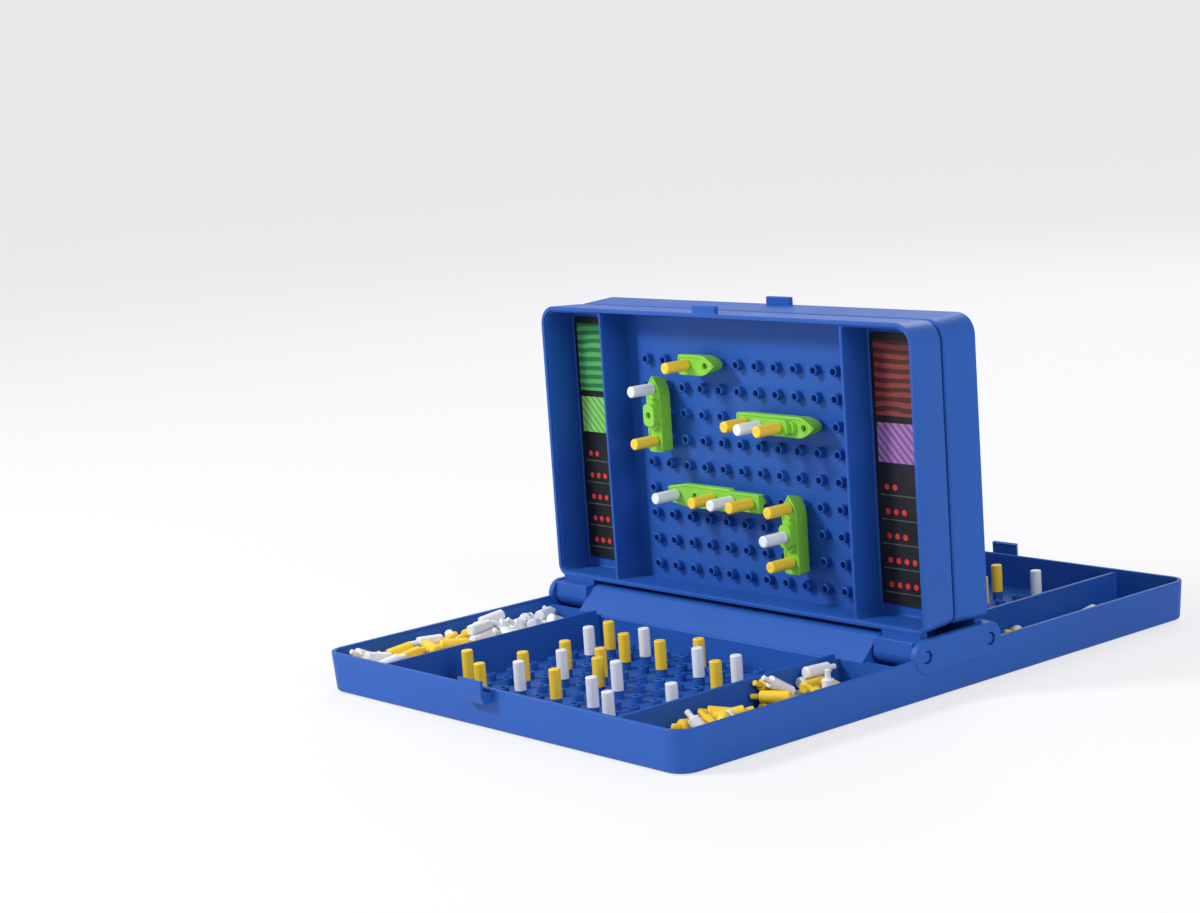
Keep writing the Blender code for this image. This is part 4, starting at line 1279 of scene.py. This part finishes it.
def ship_place(side, column, row, heading):
    """Frame of a ship's stern hole on an open lid."""
    x = (column - (COLUMNS - 1) / 2) * PITCH
    hole = Matrix.Translation((x, FIRST_ROW + row * PITCH, -RIM_GAP / 2 - SHIP_BOARD_DEPTH))
    turn = Matrix.Rotation(math.pi / 2 if heading == "up" else 0.0, 4, "Z")
    return lid_place(side) @ hole @ turn


def add_ships():
    for name, (holes, raised) in SHIPS.items():
        ship = model_ship(holes, raised)
        for side, fleet in FLEETS.items():
            node = "ship_%s_%s" % (side, name)
            item = copy_of(ship, node + "_moulded")
            put(item, ship_place(side, *fleet[name]))
            hand_over(item, SHIP_GREEN, node, "ship_green", node)
        bpy.data.objects.remove(ship, do_unlink=True)


# Floor, light and camera

CAMERA_AIM = Vector((-57.3, -40.0, 92.1)) * MM
CAMERA_CENTRE = Vector((0.0, -40.0, 70.0)) * MM
CAMERA_DISTANCE = 1130.0 * MM
CAMERA_AZIMUTH = math.radians(47.9)
CAMERA_ELEVATION = math.radians(10.5)
CAMERA_ROLL = math.radians(-4.0)
CAMERA_LENS = 77.26
CAMERA_SENSOR = 36.0
CAMERA_NEAREST = 0.01
CAMERA_FARTHEST = 50.0

# Each lamp: name, azimuth and elevation in degrees, distance and size in metres, and power in watts
LAMPS = (
    ("key", -34.0, 36.0, 1.8, 0.4, 24.0),
    ("fill", 78.0, 28.0, 2.0, 1.0, 12.0),
    ("back", 205.0, 38.0, 2.0, 1.0, 9.0),
)
LAMP_AIM = Vector((0.0, 0.0, 0.05))

SKY_COLOUR = (0.93, 0.95, 1.0, 1.0)
SKY_STRENGTH = 0.55
BACKGROUND_COLOUR = (0.806, 0.812, 0.828, 1.0)
GROUND_SIZE = 12.0
GROUND_DROP = 0.3 * MM
GROUND_COLOUR = (0.88, 0.88, 0.89, 1.0)
GROUND_ROUGHNESS = 0.7
GROUND_GLEAM = 0.2
GROUND_PALE = (0.95, 0.95, 0.96, 1.0)
GROUND_PALE_SHARE = 0.7        # the rest of the floor's look is its own colour, with the shadows on it


def away(azimuth, elevation):
    """The way to a place round the case: azimuth counts from the front, elevation from the floor."""
    flat = math.cos(elevation)
    return Vector((flat * math.sin(azimuth), -flat * math.cos(azimuth), math.sin(elevation)))


def aimed(spot, aim):
    """Frame of a camera or a lamp that looks from one point at another."""
    return Matrix.Translation(spot) @ (aim - spot).to_track_quat("-Z", "Y").to_matrix().to_4x4()


def add_camera():
    data = bpy.data.cameras.new("camera")
    camera = bpy.data.objects.new("camera", data)
    bpy.context.scene.collection.objects.link(camera)
    spot = CAMERA_CENTRE + away(CAMERA_AZIMUTH, CAMERA_ELEVATION) * CAMERA_DISTANCE
    camera.matrix_world = aimed(spot, CAMERA_AIM) @ Matrix.Rotation(CAMERA_ROLL, 4, "Z")
    data.lens = CAMERA_LENS
    data.sensor_width = CAMERA_SENSOR
    data.clip_start = CAMERA_NEAREST
    data.clip_end = CAMERA_FARTHEST
    bpy.context.scene.camera = camera


def add_lamp(name, azimuth, elevation, distance, size, power):
    data = bpy.data.lights.new(name, "AREA")
    data.shape = "DISK"
    data.size = size
    data.energy = power
    lamp = bpy.data.objects.new(name, data)
    bpy.context.scene.collection.objects.link(lamp)
    spot = LAMP_AIM + away(math.radians(azimuth), math.radians(elevation)) * distance
    lamp.matrix_world = aimed(spot, LAMP_AIM)


def work_out(tree, operation, *values):
    """A step of a calculation in a shader, from sockets and numbers."""
    node = add_node(tree, "ShaderNodeMath", operation=operation)
    for socket, value in zip(node.inputs, values):
        if isinstance(value, float):
            socket.default_value = value
        else:
            tree.links.new(value, socket)
    return node.outputs[0]


def mix_shaders(tree, share, first, second, output):
    """Two shaders as a tree's result; share is that of the second."""
    blend = add_node(tree, "ShaderNodeMixShader")
    tree.links.new(share, blend.inputs["Fac"])
    tree.links.new(first.outputs[0], blend.inputs[1])
    tree.links.new(second.outputs[0], blend.inputs[2])
    tree.links.new(blend.outputs[0], tree.nodes[output].inputs["Surface"])


def background_rays(tree):
    """1 for rays that see the background directly, in a mirror or through glass, else 0."""
    rays = add_node(tree, "ShaderNodeLightPath").outputs
    seen = work_out(tree, "MAXIMUM", rays["Is Camera Ray"], rays["Is Glossy Ray"])
    return work_out(tree, "MAXIMUM", seen, rays["Is Transmission Ray"])


def add_world():
    world = bpy.data.worlds.new("studio")
    bpy.context.scene.world = world
    world.use_nodes = True
    tree = world.node_tree
    light = tree.nodes["Background"]
    light.inputs["Color"].default_value = SKY_COLOUR
    light.inputs["Strength"].default_value = SKY_STRENGTH
    white = add_node(tree, "ShaderNodeBackground", Color=BACKGROUND_COLOUR, Strength=1.0)
    mix_shaders(tree, background_rays(tree), light, white, "World Output")


def open_ground(tree):
    """1 for the floor round the base, 0 for the floor under it, which stays in the dark."""
    place = add_node(tree, "ShaderNodeTexCoord")
    apart = add_node(tree, "ShaderNodeSeparateXYZ")
    tree.links.new(place.outputs["Object"], apart.inputs["Vector"])
    past = []
    for index, half in enumerate((HALF_WIDTH, HALF_LENGTH)):
        distance = work_out(tree, "ABSOLUTE", apart.outputs[index])
        past.append(work_out(tree, "GREATER_THAN", distance, half - CORNER))
    return work_out(tree, "MAXIMUM", *past)


def add_floor():
    bpy.ops.object.select_all(action="DESELECT")
    bpy.ops.mesh.primitive_plane_add(size=GROUND_SIZE, location=(0, 0, -GROUND_DROP))
    floor = take_new("floor")
    material, tree, shader = new_material("pale_floor")
    shader.inputs["Base Color"].default_value = GROUND_COLOUR
    shader.inputs["Roughness"].default_value = GROUND_ROUGHNESS
    shader.inputs["Specular IOR Level"].default_value = GROUND_GLEAM
    pale = add_node(tree, "ShaderNodeEmission", Color=GROUND_PALE, Strength=1.0)
    seen = work_out(tree, "MULTIPLY", background_rays(tree), GROUND_PALE_SHARE)
    share = work_out(tree, "MULTIPLY", seen, open_ground(tree))
    mix_shaders(tree, share, shader, pale, "Material Output")
    floor.data.materials.append(material)


bpy.context.scene.view_settings.view_transform = "Standard"
add_mouldings()
add_cards()
add_ships()
add_pegs()
add_loose_pegs()
add_camera()
add_world()
for lamp in LAMPS:
    add_lamp(*lamp)
add_floor()
